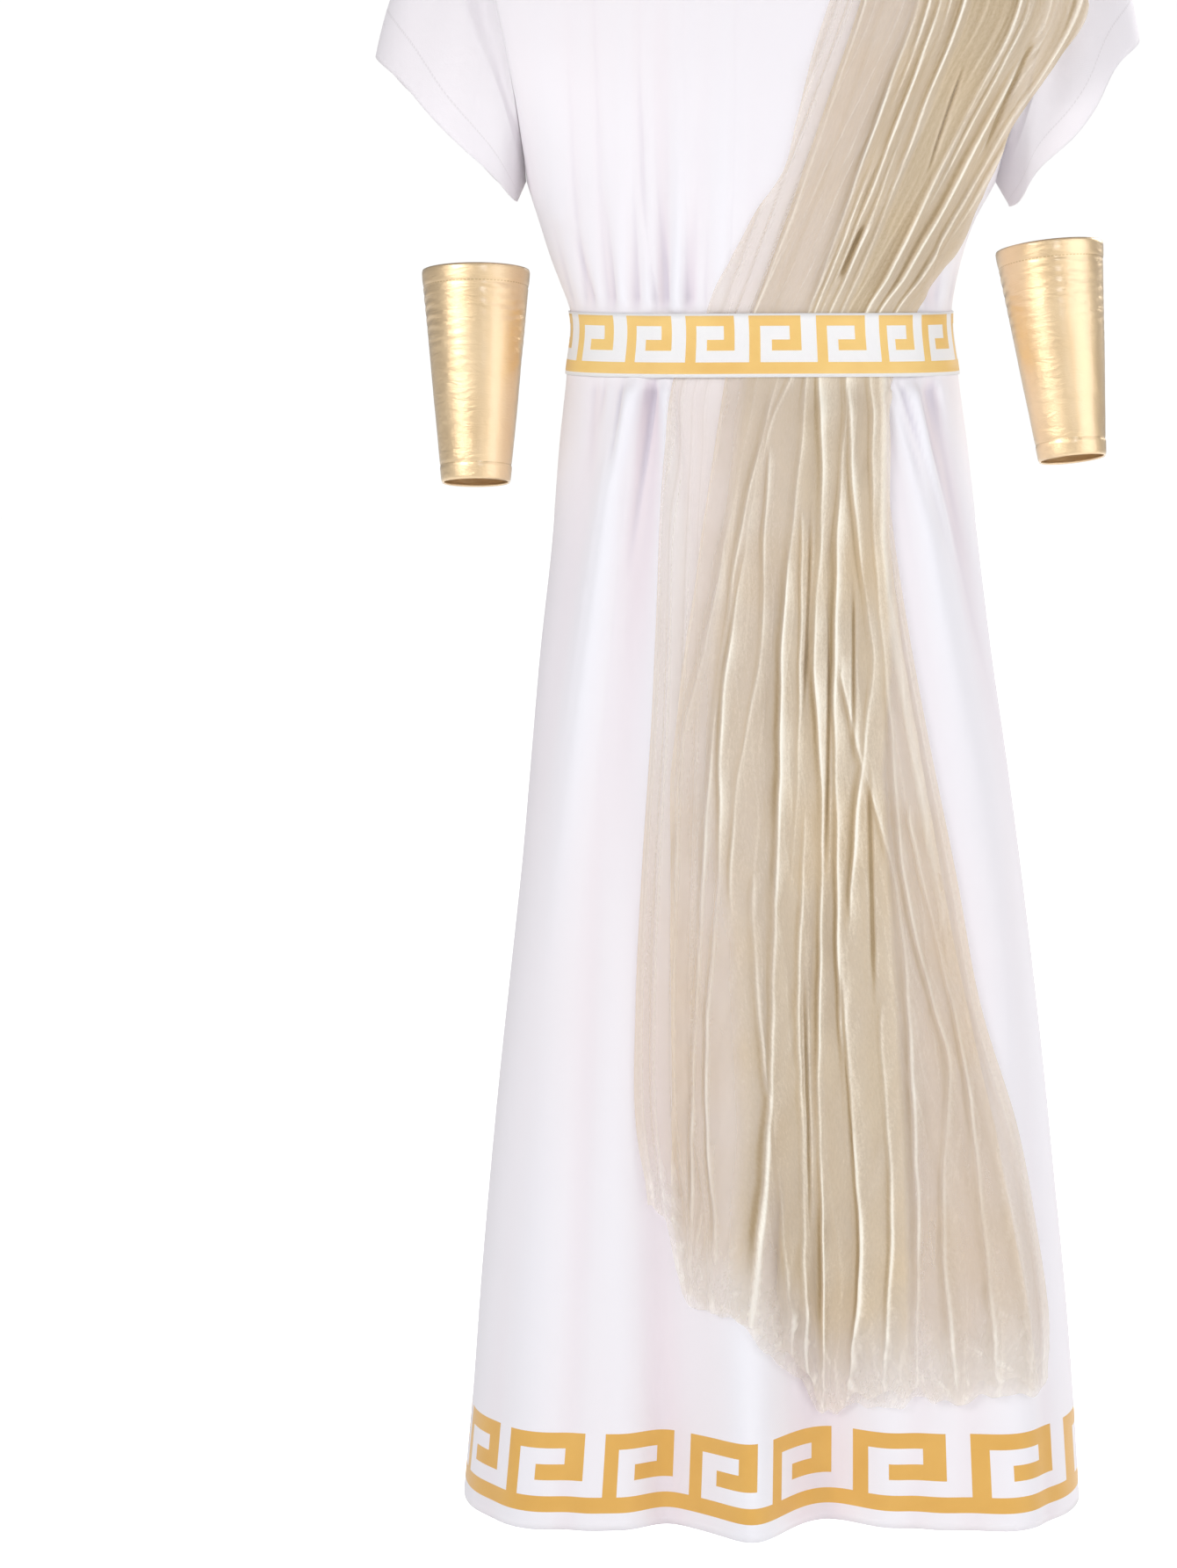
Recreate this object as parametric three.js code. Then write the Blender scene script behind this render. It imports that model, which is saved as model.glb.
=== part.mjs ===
import * as THREE from "three";

// Greek god costume, worn shape without a wearer. Millimetres, +Z up, front towards -Y,
// wearer's left towards +X. The origin lies between the two shoulder seams, at neck height.
const SEAM = 0.3;
const ROBE_WALL = 1.5;
const DRAPE_WALL = 1.2;
const BELT_WALL = 1.6;
const CUFF_WALL = 1.8;
const CLEARANCE = 0.9;

const UNDERARM_Z = -305;
const HEM_Z = -1445;
const BELT_TOP_Z = -414;
const BELT_BOTTOM_Z = -467;
const NECK_HALF_WIDTH = 90;
const SHOULDER_SLOPE = 0.377;
const SHOULDER_ROUNDNESS = 2.5;
const ARMHOLE_DEPTH = 0.8;

const FRONT_COLUMNS = 50;
const BACK_COLUMNS = 32;
const BELT_COLUMNS = 36;

const WHITE = 0xf1eff0;
const CHAMPAGNE = 0xbcad93;
const GOLD = 0xe0b45f;

// Robe sections: side edges, depth of the front and back, and how square the section is.
const BODY = [
  { z: -1445, left: -260, right: 280, front: 146, back: 140, power: 3.0 },
  { z: -1358, left: -252, right: 274, front: 142, back: 138, power: 2.95 },
  { z: -1263, left: -245, right: 266, front: 138, back: 135, power: 2.9 },
  { z: -1169, left: -237, right: 256, front: 134, back: 132, power: 2.85 },
  { z: -1075, left: -228, right: 246, front: 130, back: 129, power: 2.8 },
  { z: -982, left: -218, right: 235, front: 126, back: 126, power: 2.7 },
  { z: -889, left: -208, right: 223, front: 121, back: 123, power: 2.65 },
  { z: -797, left: -200, right: 210, front: 116, back: 119, power: 2.6 },
  { z: -705, left: -192, right: 196, front: 111, back: 115, power: 2.55 },
  { z: -614, left: -182, right: 184, front: 106, back: 110, power: 2.5 },
  { z: -524, left: -175, right: 173, front: 101, back: 102, power: 2.45 },
  { z: -467, left: -169, right: 165, front: 97, back: 95, power: 2.4 },
  { z: -414, left: -166, right: 159, front: 97, back: 94, power: 2.4 },
  { z: -392, left: -174, right: 162, front: 102, back: 98, power: 2.4 },
  { z: -374, left: -181, right: 166, front: 106, back: 101, power: 2.4 },
  { z: -337, left: -193, right: 178, front: 113, back: 105, power: 2.45 },
  { z: -305, left: -203, right: 195, front: 118, back: 108, power: 2.5 },
  { z: -275, left: -210, right: 206, front: 120, back: 110, power: 2.5 },
  { z: -237, left: -219, right: 217, front: 120, back: 110, power: 2.5 },
  { z: -197, left: -228, right: 227, front: 120, back: 110, power: 2.5 },
  { z: -135, left: -230, right: 230, front: 119, back: 109, power: 2.5 },
  { z: 0, left: -228, right: 228, front: 118, back: 108, power: 2.5 },
];

// Levels of the robe's rows below the underarm, from the hem up.
const ROBE_LEVELS = [
  -1445, -1370, -1275, -1160, -1030, -900, -775, -665, -580, -520, -485, -467, -414, -398, -372, -340, -305,
];
const DOME_ROWS = 6;

// Folds of the robe: path from one level to the other, outward travel (inward when negative)
// and half width, at both ends. The gathers end in the belt.
const FRONT_FOLDS = [
  { name: "left side swell", z1: -1445, x1: -200, out1: 20, half1: 50, z2: -1000, x2: -196, out2: 7, half2: 30 },
  { name: "left ridge", z1: -1000, x1: -196, out1: 7, half1: 30, z2: -470, x2: -113, out2: 6, half2: 14 },
  { name: "left trough", z1: -1445, x1: -88, out1: -24, half1: 30, z2: -800, x2: -112, out2: -4, half2: 24 },
  { name: "left crease", z1: -760, x1: -112, out1: -2, half1: 18, z2: -470, x2: -96, out2: -6, half2: 8 },
  { name: "middle crest", z1: -1445, x1: -10, out1: 36, half1: 30, z2: -760, x2: -30, out2: 3, half2: 30 },
  { name: "middle trough", z1: -1445, x1: 55, out1: -38, half1: 40, z2: -760, x2: 40, out2: -3, half2: 40 },
  { name: "right swell", z1: -1445, x1: 208, out1: 24, half1: 52, z2: -960, x2: 206, out2: 8, half2: 30 },
  { name: "right ridge", z1: -960, x1: 206, out1: 8, half1: 30, z2: -470, x2: 112, out2: 5, half2: 14 },
  { name: "right crease", z1: -700, x1: 176, out1: -3, half1: 16, z2: -470, x2: 132, out2: -5, half2: 9 },
  { name: "gather 1", z1: -411, x1: -149, out1: -4, half1: 7, z2: -350, x2: -160, out2: 0, half2: 9 },
  { name: "gather 2", z1: -411, x1: -133, out1: -4, half1: 7, z2: -330, x2: -141, out2: 0, half2: 10 },
  { name: "gather 3", z1: -411, x1: -113, out1: -5, half1: 8, z2: -290, x2: -118, out2: 0, half2: 12 },
  { name: "gather 4", z1: -411, x1: -89, out1: -6, half1: 9, z2: -260, x2: -88, out2: 0, half2: 14 },
  { name: "gather 5", z1: -411, x1: -66, out1: -5, half1: 8, z2: -300, x2: -62, out2: 0, half2: 12 },
  { name: "gather 6", z1: -411, x1: 138, out1: -4, half1: 8, z2: -330, x2: 146, out2: 0, half2: 10 },
];
const BACK_FOLDS = [
  { name: "back left crest", z1: -1445, x1: -150, out1: 16, half1: 45, z2: -620, x2: -88, out2: 3, half2: 20 },
  { name: "back left trough", z1: -1445, x1: -62, out1: -20, half1: 38, z2: -560, x2: -42, out2: -3, half2: 18 },
  { name: "back middle crest", z1: -1445, x1: 28, out1: 20, half1: 42, z2: -600, x2: 8, out2: 3, half2: 20 },
  { name: "back right trough", z1: -1445, x1: 112, out1: -18, half1: 38, z2: -560, x2: 58, out2: -3, half2: 18 },
  { name: "back right crest", z1: -1445, x1: 190, out1: 16, half1: 42, z2: -640, x2: 104, out2: 3, half2: 20 },
  { name: "back gather 1", z1: -411, x1: -104, out1: -4, half1: 10, z2: -310, x2: -110, out2: 0, half2: 14 },
  { name: "back gather 2", z1: -411, x1: -38, out1: -4, half1: 10, z2: -290, x2: -40, out2: 0, half2: 14 },
  { name: "back gather 3", z1: -411, x1: 34, out1: -4, half1: 10, z2: -300, x2: 36, out2: 0, half2: 14 },
  { name: "back gather 4", z1: -411, x1: 98, out1: -4, half1: 10, z2: -310, x2: 104, out2: 0, half2: 14 },
];

// Sleeve hems: tip over the arm, corner at the underarm, half depth, ripples along the edge.
const SLEEVES = [
  { name: "sleeve_left", side: -1, tipX: -331, tipZ: -200, cornerX: -211, cornerZ: -322, ripple: 1.5 },
  { name: "sleeve_right", side: 1, tipX: 315, tipZ: -184, cornerX: 208, cornerZ: -326, ripple: 4 },
];
const SLEEVE_HALF_DEPTH = 64;
const SLEEVE_CROWN = { out: 24, up: 58 };
const SLEEVE_AROUND = 4 * DOME_ROWS;
const SLEEVE_ROWS = 5;

// Edges of the drape on the robe, from the shoulder to the belt and from the belt down.
const UPPER_EDGES = [
  { z: -412, left: -52, right: 124 },
  { z: -386, left: -42, right: 140 },
  { z: -351, left: -24, right: 163 },
  { z: -325, left: -10, right: 172 },
  { z: -300, left: 8, right: 181 },
  { z: -257, left: 20, right: 198 },
  { z: -200, left: 34, right: 232 },
  { z: -157, left: 48, right: 256 },
  { z: -100, left: 66, right: 246 },
  { z: -50, left: 82, right: 226 },
  { z: 0, left: 94, right: 212 },
];
const LOWER_EDGES = [
  { z: -1348, left: -102, right: 233 },
  { z: -1261, left: -102, right: 235 },
  { z: -1173, left: -102, right: 221 },
  { z: -1101, left: -112, right: 206 },
  { z: -996, left: -112, right: 179 },
  { z: -884, left: -106, right: 158 },
  { z: -773, left: -98, right: 135 },
  { z: -655, left: -92, right: 113 },
  { z: -589, left: -89, right: 103 },
  { z: -531, left: -84, right: 98 },
  { z: -465, left: -78, right: 105 },
  { z: -440, left: -66, right: 114 },
];
// Lower edge of the drape, at each share of its width from left to right.
const LOWER_HEM = [
  { share: 0, z: -1168 },
  { share: 0.06, z: -1179 },
  { share: 0.1, z: -1238 },
  { share: 0.14, z: -1250 },
  { share: 0.25, z: -1262 },
  { share: 0.32, z: -1297 },
  { share: 0.44, z: -1345 },
  { share: 0.5, z: -1348 },
  { share: 0.585, z: -1338 },
  { share: 0.72, z: -1333 },
  { share: 0.87, z: -1331 },
  { share: 1, z: -1323 },
];
// Pleats of the drape: share of the width at the upper and the lower end, travel, half width.
const UPPER_PLEATS = [
  { name: "sheer edge", top: 0.05, bottom: 0.05, out: 3, half: 0.022 },
  { name: "panel a1", top: 0.15, bottom: 0.17, out: 4, half: 0.03 },
  { name: "panel a2", top: 0.25, bottom: 0.32, out: 4, half: 0.03 },
  { name: "tight b1", top: 0.33, bottom: 0.47, out: 6, half: 0.02 },
  { name: "tight b2", top: 0.4, bottom: 0.55, out: 7, half: 0.02 },
  { name: "tight b3", top: 0.46, bottom: 0.63, out: 7, half: 0.02 },
  { name: "panel c", top: 0.57, bottom: 0.73, out: 5, half: 0.035 },
  { name: "fold d1", top: 0.7, bottom: 0.83, out: 8, half: 0.025 },
  { name: "fold d2", top: 0.79, bottom: 0.9, out: 8, half: 0.025 },
  { name: "fold d3", top: 0.9, bottom: 0.965, out: 6, half: 0.025 },
];
// Pleats below the belt: x of each ridge at the named levels (in the columns z465 ... z1250).
const PLEAT_LEVELS = [-465, -600, -700, -800, -950, -1100, -1250];
const LOWER_PLEATS = [
  { name: "left layer", at: [-70, -80, -84, -66, -70, -74, -76], out: 4, half: 9 },
  { name: "ridge 1", at: [-24, -50, -62, -84, -94, -96, -98], out: 5, half: 8 },
  { name: "ridge 2", at: [-8, -34, -52, -50, -44, -40, -38], out: 7, half: 8 },
  { name: "ridge 3", at: [18, -16, -26, -22, -16, -14, -24], out: 7, half: 8 },
  { name: "ridge 4", at: [31, 20, 10, 7, 2, -4, -15], out: 9, half: 7 },
  { name: "ridge 5", at: [42, 43, 39, 45, 46, 44, 49], out: 8, half: 7 },
  { name: "ridge 6", at: [66, 56, 56, 58, 63, 75, 86], out: 11, half: 7 },
  { name: "ridge 7", at: [76, 74, 86, 82, 90, 98, 108], out: 8, half: 8 },
  { name: "ridge 8", at: [88, 86, 98, 104, 116, 126, 134], out: 7, half: 9 },
  { name: "ridge 9", at: [96, 96, 112, 126, 142, 158, 168], out: 6, half: 11 },
  { name: "right edge", at: [101, 100, 118, 138, 168, 190, 212], out: 6, half: 9 },
];
// Rows of the drape: levels above the belt, and below it shares of the way down to the hem.
const UPPER_LEVELS = [-440.35, -411, -397, -376, -345, -305, -272, -236, -196, -152, -100, -50, -8];
const LOWER_ROWS = [1, 0.955, 0.9, 0.82, 0.74, 0.66, 0.57, 0.48, 0.39, 0.3, 0.21, 0.13, 0.06];
const LOWER_TOP_LEVELS = [-486, -470, -440.65];
const DRAPE_COLUMNS = { upper: 38, lower: 48 };
const DRAPE_GAP = { underBelt: CLEARANCE, free: 3.2 };

// Cuffs: centre of each end, radius across, lean towards the front.
const CUFFS = [
  { name: "cuff_left", topX: -247, topZ: -381, bottomX: -246.5, bottomZ: -560, top: 47, bottom: 30 },
  { name: "cuff_right", topX: 244, topZ: -361, bottomX: 262.5, bottomZ: -540, top: 47, bottom: 29.5 },
];
const CUFF_LEAN = 38;
const CUFF_FLATNESS = 0.88;
const CUFF_HEM = { height: 14, raised: 0.8 };
const CUFF_AROUND = 24;

const clamp = (value, low, high) => Math.min(high, Math.max(low, value));
const mix = (a, b, t) => a + (b - a) * t;
const smooth = (low, high, value) => THREE.MathUtils.smoothstep(value, low, high);
const bell = (distance, half) => Math.exp(-((distance / half) ** 2));

// Value of one column of a table sorted by rising key, along a smooth curve.
function sample(table, key, column, at) {
  const last = table.length - 1;
  const rising = table[last][key] > table[0][key];
  let k = 0;
  while (k < last - 1 && (rising ? table[k + 1][key] < at : table[k + 1][key] > at)) k += 1;
  const a = table[k];
  const b = table[k + 1];
  const t = clamp((at - a[key]) / (b[key] - a[key]), 0, 1);
  const before = table[Math.max(0, k - 1)];
  const after = table[Math.min(last, k + 2)];
  const span = b[key] - a[key];
  const slopeA = ((b[column] - before[column]) / (b[key] - before[key])) * span;
  const slopeB = ((after[column] - a[column]) / (after[key] - a[key])) * span;
  const t2 = t * t;
  const t3 = t2 * t;
  return (
    (2 * t3 - 3 * t2 + 1) * a[column] +
    (t3 - 2 * t2 + t) * slopeA +
    (3 * t2 - 2 * t3) * b[column] +
    (t3 - t2) * slopeB
  );
}

function line(points, key, column, at) {
  const last = points.length - 1;
  let k = 0;
  const rising = points[last][key] > points[0][key];
  while (k < last - 1 && (rising ? points[k + 1][key] < at : points[k + 1][key] > at)) k += 1;
  const t = clamp((at - points[k][key]) / (points[k + 1][key] - points[k][key]), 0, 1);
  return mix(points[k][column], points[k + 1][column], t);
}

const ridgeZ = (x) => -SHOULDER_SLOPE * Math.max(0, Math.abs(x) - NECK_HALF_WIDTH);

// Above the underarm the level is an angle over the shoulder, spelled as a height.
const domeAngle = (level) => clamp((level - UNDERARM_Z) / -UNDERARM_Z, 0, 1) * (Math.PI / 2);

function levelAt(x, z) {
  if (z <= UNDERARM_Z) return z;
  const share = clamp((z - UNDERARM_Z) / (ridgeZ(x) - UNDERARM_Z), 0, 1);
  const angle = Math.asin(share ** (SHOULDER_ROUNDNESS / 2));
  return UNDERARM_Z - (angle / (Math.PI / 2)) * UNDERARM_Z;
}

function neckLevel(x, depth) {
  const share = Math.abs(x) / NECK_HALF_WIDTH;
  return share >= 1 ? 0 : levelAt(x, -depth * Math.sqrt(1 - share ** 2.2));
}

function section(level) {
  const left = sample(BODY, "z", "left", level);
  const right = sample(BODY, "z", "right", level);
  return {
    middle: (left + right) / 2,
    half: (right - left) / 2,
    front: sample(BODY, "z", "front", level),
    back: sample(BODY, "z", "back", level),
    power: sample(BODY, "z", "power", level),
  };
}

// Shares of the half width, evenly spaced round half of a section.
function evenShares(columns, s, depth) {
  const fine = [];
  let length = 0;
  for (let k = 0; k <= 600; k += 1) {
    const share = -Math.cos((Math.PI * k) / 600);
    const point = new THREE.Vector2(s.half * share, depth * (1 - Math.abs(share) ** s.power) ** (1 / s.power));
    if (k > 0) length += point.distanceTo(fine[k - 1].point);
    fine.push({ share, point, length });
  }
  const shares = [];
  for (let i = 0; i <= columns; i += 1) shares.push(line(fine, "length", "share", (length * i) / columns));
  return shares;
}

function foldTravel(folds, x, level, across) {
  const belt = smooth(0, 14, Math.max(level - BELT_TOP_Z, BELT_BOTTOM_Z - level));
  const edge = 1 - Math.abs(across) ** 10;
  let travel = 0;
  for (const fold of folds) {
    const t = (level - fold.z1) / (fold.z2 - fold.z1);
    if (t < 0 || t > 1) continue;
    const middle = mix(fold.x1, fold.x2, t);
    const half = mix(fold.half1, fold.half2, t);
    travel += mix(fold.out1, fold.out2, t ** 0.8) * bell(x - middle, half);
  }
  return travel * belt * edge;
}

// Outer face of the robe at one level: side -1 is the front, +1 the back.
function robePoint(side, x, level) {
  const s = section(level);
  const across = clamp((x - s.middle) / s.half, -1, 1);
  const depth = side < 0 ? s.front : s.back;
  const round = (1 - Math.abs(across) ** s.power) ** (1 / s.power);
  const angle = domeAngle(level);
  const closing = Math.cos(angle) ** (2 / SHOULDER_ROUNDNESS);
  const rise = Math.sin(angle) ** (2 / SHOULDER_ROUNDNESS);
  const armhole = ARMHOLE_DEPTH * Math.sin(clamp(rise / 0.45, 0, 1) * (Math.PI / 2));
  const z = level <= UNDERARM_Z ? level : mix(UNDERARM_Z, ridgeZ(x), rise);
  const y = depth * closing * (armhole + (1 - armhole) * round);
  const nx = (Math.sign(across) * Math.abs(across) ** (s.power - 1)) / s.half;
  const ny = round ** (s.power - 1) / depth;
  const length = Math.hypot(nx, ny) || 1;
  const travel = foldTravel(side < 0 ? FRONT_FOLDS : BACK_FOLDS, x, level, across) * closing;
  return new THREE.Vector3(
    x + (nx / length) * travel * (1 - armhole),
    side * Math.max(SEAM / 2, y + (ny / length) * travel),
    z,
  );
}

// A cloth wall on a grid of outer points: columns run round the piece and rows up it,
// so that column step x row step points outwards.
function clothWall(name, color, grid, wall, options = {}) {
  const rows = grid.length;
  const columns = grid[0].length;
  const closed = options.closed === true;
  const keep = options.keep || ((inner) => inner);
  const wrap = (i) => (closed ? (i + columns) % columns : clamp(i, 0, columns - 1));
  const row = (j) => clamp(j, 0, rows - 1);
  const positions = [];
  const put = (p) => positions.push(p.x, p.y, p.z);
  for (let j = 0; j < rows; j += 1) {
    for (let i = 0; i < columns; i += 1) put(grid[j][i]);
  }
  for (let j = 0; j < rows; j += 1) {
    for (let i = 0; i < columns; i += 1) {
      const across = grid[j][wrap(i + 1)].clone().sub(grid[j][wrap(i - 1)]);
      const along = grid[row(j + 1)][i].clone().sub(grid[row(j - 1)][i]);
      const normal = across.cross(along).normalize();
      const inner = grid[j][i].clone().addScaledVector(normal, -wall);
      put(keep(inner, grid[j][i], i, j));
    }
  }
  const index = [];
  const outer = (i, j) => j * columns + wrap(i);
  const inner = (i, j) => rows * columns + outer(i, j);
  const quad = (a, b, c, d) => index.push(a, b, c, a, c, d);
  const steps = closed ? columns : columns - 1;
  for (let j = 0; j < rows - 1; j += 1) {
    for (let i = 0; i < steps; i += 1) {
      quad(outer(i, j), outer(i + 1, j), outer(i + 1, j + 1), outer(i, j + 1));
      quad(inner(i, j), inner(i, j + 1), inner(i + 1, j + 1), inner(i + 1, j));
    }
  }
  for (let i = 0; i < steps; i += 1) {
    quad(outer(i, 0), inner(i, 0), inner(i + 1, 0), outer(i + 1, 0));
    quad(outer(i, rows - 1), outer(i + 1, rows - 1), inner(i + 1, rows - 1), inner(i, rows - 1));
  }
  if (!closed) {
    for (let j = 0; j < rows - 1; j += 1) {
      const end = columns - 1;
      quad(outer(0, j), outer(0, j + 1), inner(0, j + 1), inner(0, j));
      quad(outer(end, j), inner(end, j), inner(end, j + 1), outer(end, j + 1));
    }
  }
  const geometry = new THREE.BufferGeometry();
  geometry.setAttribute("position", new THREE.Float32BufferAttribute(positions, 3));
  geometry.setIndex(index);
  const material = new THREE.MeshStandardMaterial({ color, roughness: 0.8 });
  const mesh = new THREE.Mesh(geometry, material);
  mesh.name = name;
  return mesh;
}

function robePanel(name, side, columns, neckDepth) {
  const shares = evenShares(columns, section(-1160), section(-1160).front);
  if (side > 0) shares.reverse();
  const grid = ROBE_LEVELS.map((level) => {
    const s = section(level);
    return shares.map((share) => robePoint(side, s.middle + s.half * share, level));
  });
  for (let j = 1; j <= DOME_ROWS; j += 1) {
    grid.push(
      shares.map((share) => {
        const top = section(0);
        const end = neckLevel(top.middle + top.half * share, neckDepth);
        const level = mix(UNDERARM_Z, end, j / DOME_ROWS);
        const s = section(level);
        return robePoint(side, s.middle + s.half * share, level);
      }),
    );
  }
  const keep = (inner, outer, i) => {
    if (side * inner.y < SEAM / 2) inner.y = (side * SEAM) / 2;
    if (i === 0 || i === columns) inner.x = Math.sign(inner.x) * Math.min(Math.abs(inner.x), Math.abs(outer.x));
    return inner;
  };
  return clothWall(name, WHITE, grid, ROBE_WALL, { keep });
}

// The armhole's edge, a seam outside the panels: every second point meets a row of the panels.
function armholeLoop(side) {
  const loop = [];
  for (let i = 0; i < SLEEVE_AROUND; i += 2) {
    const turn = (2 * i) / SLEEVE_AROUND;
    const face = turn < 1 ? -1 : 1;
    const level = mix(UNDERARM_Z, 0, turn < 1 ? turn : 2 - turn);
    const s = section(level);
    const point = robePoint(face, s.middle + side * s.half, level);
    if (Math.abs(point.y) <= SEAM) point.y = 0;
    point.x += side * SEAM * 1.2;
    loop[i] = point;
  }
  for (let i = 1; i < SLEEVE_AROUND; i += 2) {
    loop[i] = loop[i - 1].clone().lerp(loop[(i + 1) % SLEEVE_AROUND], 0.5);
  }
  return loop;
}

// A sleeve runs from the armhole to its slanting hem; angle 0 is the underarm, PI the shoulder.
function sleeve(spec) {
  const grid = [];
  const hemMiddle = new THREE.Vector3((spec.tipX + spec.cornerX) / 2, 0, (spec.tipZ + spec.cornerZ) / 2);
  const hemHalf = new THREE.Vector3((spec.tipX - spec.cornerX) / 2, 0, (spec.tipZ - spec.cornerZ) / 2);
  const outward = new THREE.Vector3(-hemHalf.z * -spec.side, 0, hemHalf.x * -spec.side).normalize();
  const roots = armholeLoop(spec.side);
  for (let j = 0; j <= SLEEVE_ROWS; j += 1) {
    const t = j / SLEEVE_ROWS;
    const ring = [];
    for (let i = 0; i < SLEEVE_AROUND; i += 1) {
      const turn = (2 * Math.PI * i) / SLEEVE_AROUND;
      const root = roots[i];
      const c = Math.cos(turn);
      const sine = Math.sin(turn);
      const hem = hemMiddle
        .clone()
        .addScaledVector(hemHalf, -Math.sign(c) * Math.abs(c) ** 0.85)
        .addScaledVector(outward, spec.ripple * Math.sin(turn * 5) * Math.abs(sine));
      hem.y = -SLEEVE_HALF_DEPTH * Math.sign(sine) * Math.abs(sine) ** 0.85;
      const crown = Math.max(0, -c) ** 1.4 * 2 * t * (1 - t);
      const point = root.clone().lerp(hem, t);
      point.x += spec.side * SLEEVE_CROWN.out * crown;
      point.z += SLEEVE_CROWN.up * crown;
      point.y *= 1 - 0.12 * Math.sin(Math.PI * Math.min(1, t * 2.5)) * Math.abs(sine);
      ring.push(point);
    }
    grid.push(spec.side < 0 ? ring : ring.reverse());
  }
  const keep = (inner, outer, i, j) => {
    if (j === 0) inner.x = outer.x;
    return inner;
  };
  return clothWall(spec.name, WHITE, grid, ROBE_WALL, { closed: true, keep });
}

function drapeOverBelt(x) {
  const left = mix(line(UPPER_EDGES, "z", "left", -412), line(LOWER_EDGES, "z", "left", -465), 0.5);
  const right = Math.max(line(UPPER_EDGES, "z", "right", -412), line(LOWER_EDGES, "z", "right", -465));
  return smooth(left - 42, left - 16, x) * (1 - smooth(right + 10, right + 34, x));
}

function belt() {
  const grid = [];
  const around = [];
  const half = evenShares(BELT_COLUMNS, section(BELT_BOTTOM_Z), section(BELT_BOTTOM_Z).front);
  for (let i = 0; i < BELT_COLUMNS; i += 1) around.push({ side: -1, share: half[i] });
  for (let i = 0; i < BELT_COLUMNS; i += 1) around.push({ side: 1, share: -half[i] });
  for (const z of [BELT_BOTTOM_Z, BELT_TOP_Z]) {
    const s = section(z);
    grid.push(
      around.map(({ side, share: across }) => {
        const x = s.middle + s.half * across;
        const depth = side < 0 ? s.front : s.back;
        const round = (1 - Math.abs(across) ** s.power) ** (1 / s.power);
        const normal = new THREE.Vector3(
          (Math.sign(across) * Math.abs(across) ** (s.power - 1)) / s.half,
          (side * round ** (s.power - 1)) / depth,
          0,
        ).normalize();
        const over = side < 0 ? drapeOverBelt(x) * (DRAPE_WALL + CLEARANCE) : 0;
        const point = new THREE.Vector3(x, side * depth * round, z);
        return point.addScaledVector(normal, CLEARANCE + over + BELT_WALL);
      }),
    );
  }
  return clothWall("belt", WHITE, grid, BELT_WALL, { closed: true });
}

// Height of the drape's outer face over the robe.
function drapeLift(level, travel, extra) {
  const free = smooth(3, 30, Math.max(level - BELT_TOP_Z, BELT_BOTTOM_Z - level));
  return DRAPE_WALL + mix(DRAPE_GAP.underBelt, DRAPE_GAP.free + travel + extra, free);
}

function onRobe(x, level, lift) {
  const step = 2;
  const point = robePoint(-1, x, level);
  const across = robePoint(-1, x + step, level).sub(robePoint(-1, x - step, level));
  const along = robePoint(-1, x, Math.min(level + step, -0.01)).sub(robePoint(-1, x, level - step));
  const normal = across.cross(along).normalize();
  return point.addScaledVector(normal, lift);
}

function drapeUpper() {
  const grid = [];
  for (const level of UPPER_LEVELS) {
    const ring = [];
    for (let i = 0; i <= DRAPE_COLUMNS.upper; i += 1) {
      const share = i / DRAPE_COLUMNS.upper;
      const guess = robePoint(-1, mix(40, 180, share), level).z;
      const x = mix(line(UPPER_EDGES, "z", "left", guess), line(UPPER_EDGES, "z", "right", guess), share);
      const down = clamp(guess / -412, 0, 1);
      let travel = 0;
      for (const pleat of UPPER_PLEATS) {
        travel += pleat.out * bell(share - mix(pleat.top, pleat.bottom, down), pleat.half);
      }
      const s = section(level);
      const beyond = Math.max(0, x - (s.middle + s.half) + 12);
      const point = onRobe(Math.min(x, s.middle + s.half - 1), level, drapeLift(level, travel, 0));
      if (x > s.middle + s.half - 1) {
        point.x = x;
        point.z = Math.min(point.z, robePoint(-1, x, level).z + DRAPE_WALL + DRAPE_GAP.free);
      }
      point.y += 0.1 * beyond - 3 * smooth(0, 20, beyond);
      ring.push(point);
    }
    grid.push(ring);
  }
  return clothWall("drape_upper", CHAMPAGNE, grid, DRAPE_WALL);
}

function drapeLower() {
  const grid = [];
  const ridges = LOWER_PLEATS.map((pleat) => PLEAT_LEVELS.map((z, k) => ({ z, x: pleat.at[k] })));
  const rows = LOWER_ROWS.length + LOWER_TOP_LEVELS.length;
  for (let j = 0; j < rows; j += 1) {
    const ring = [];
    for (let i = 0; i <= DRAPE_COLUMNS.lower; i += 1) {
      const share = i / DRAPE_COLUMNS.lower;
      const bottom = line(LOWER_HEM, "share", "z", share);
      const fromHem = j < LOWER_ROWS.length;
      const level = fromHem
        ? mix(LOWER_TOP_LEVELS[0], bottom, LOWER_ROWS[j])
        : LOWER_TOP_LEVELS[j - LOWER_ROWS.length];
      const x = mix(line(LOWER_EDGES, "z", "left", level), line(LOWER_EDGES, "z", "right", level), share);
      let travel = 0;
      LOWER_PLEATS.forEach((pleat, k) => {
        travel += pleat.out * bell(x - line(ridges[k], "z", "x", level), pleat.half);
      });
      ring.push(onRobe(x, level, drapeLift(level, travel, 2 * smooth(470, 1200, -level))));
    }
    grid.push(ring);
  }
  return clothWall("drape_lower", CHAMPAGNE, grid, DRAPE_WALL);
}

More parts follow.
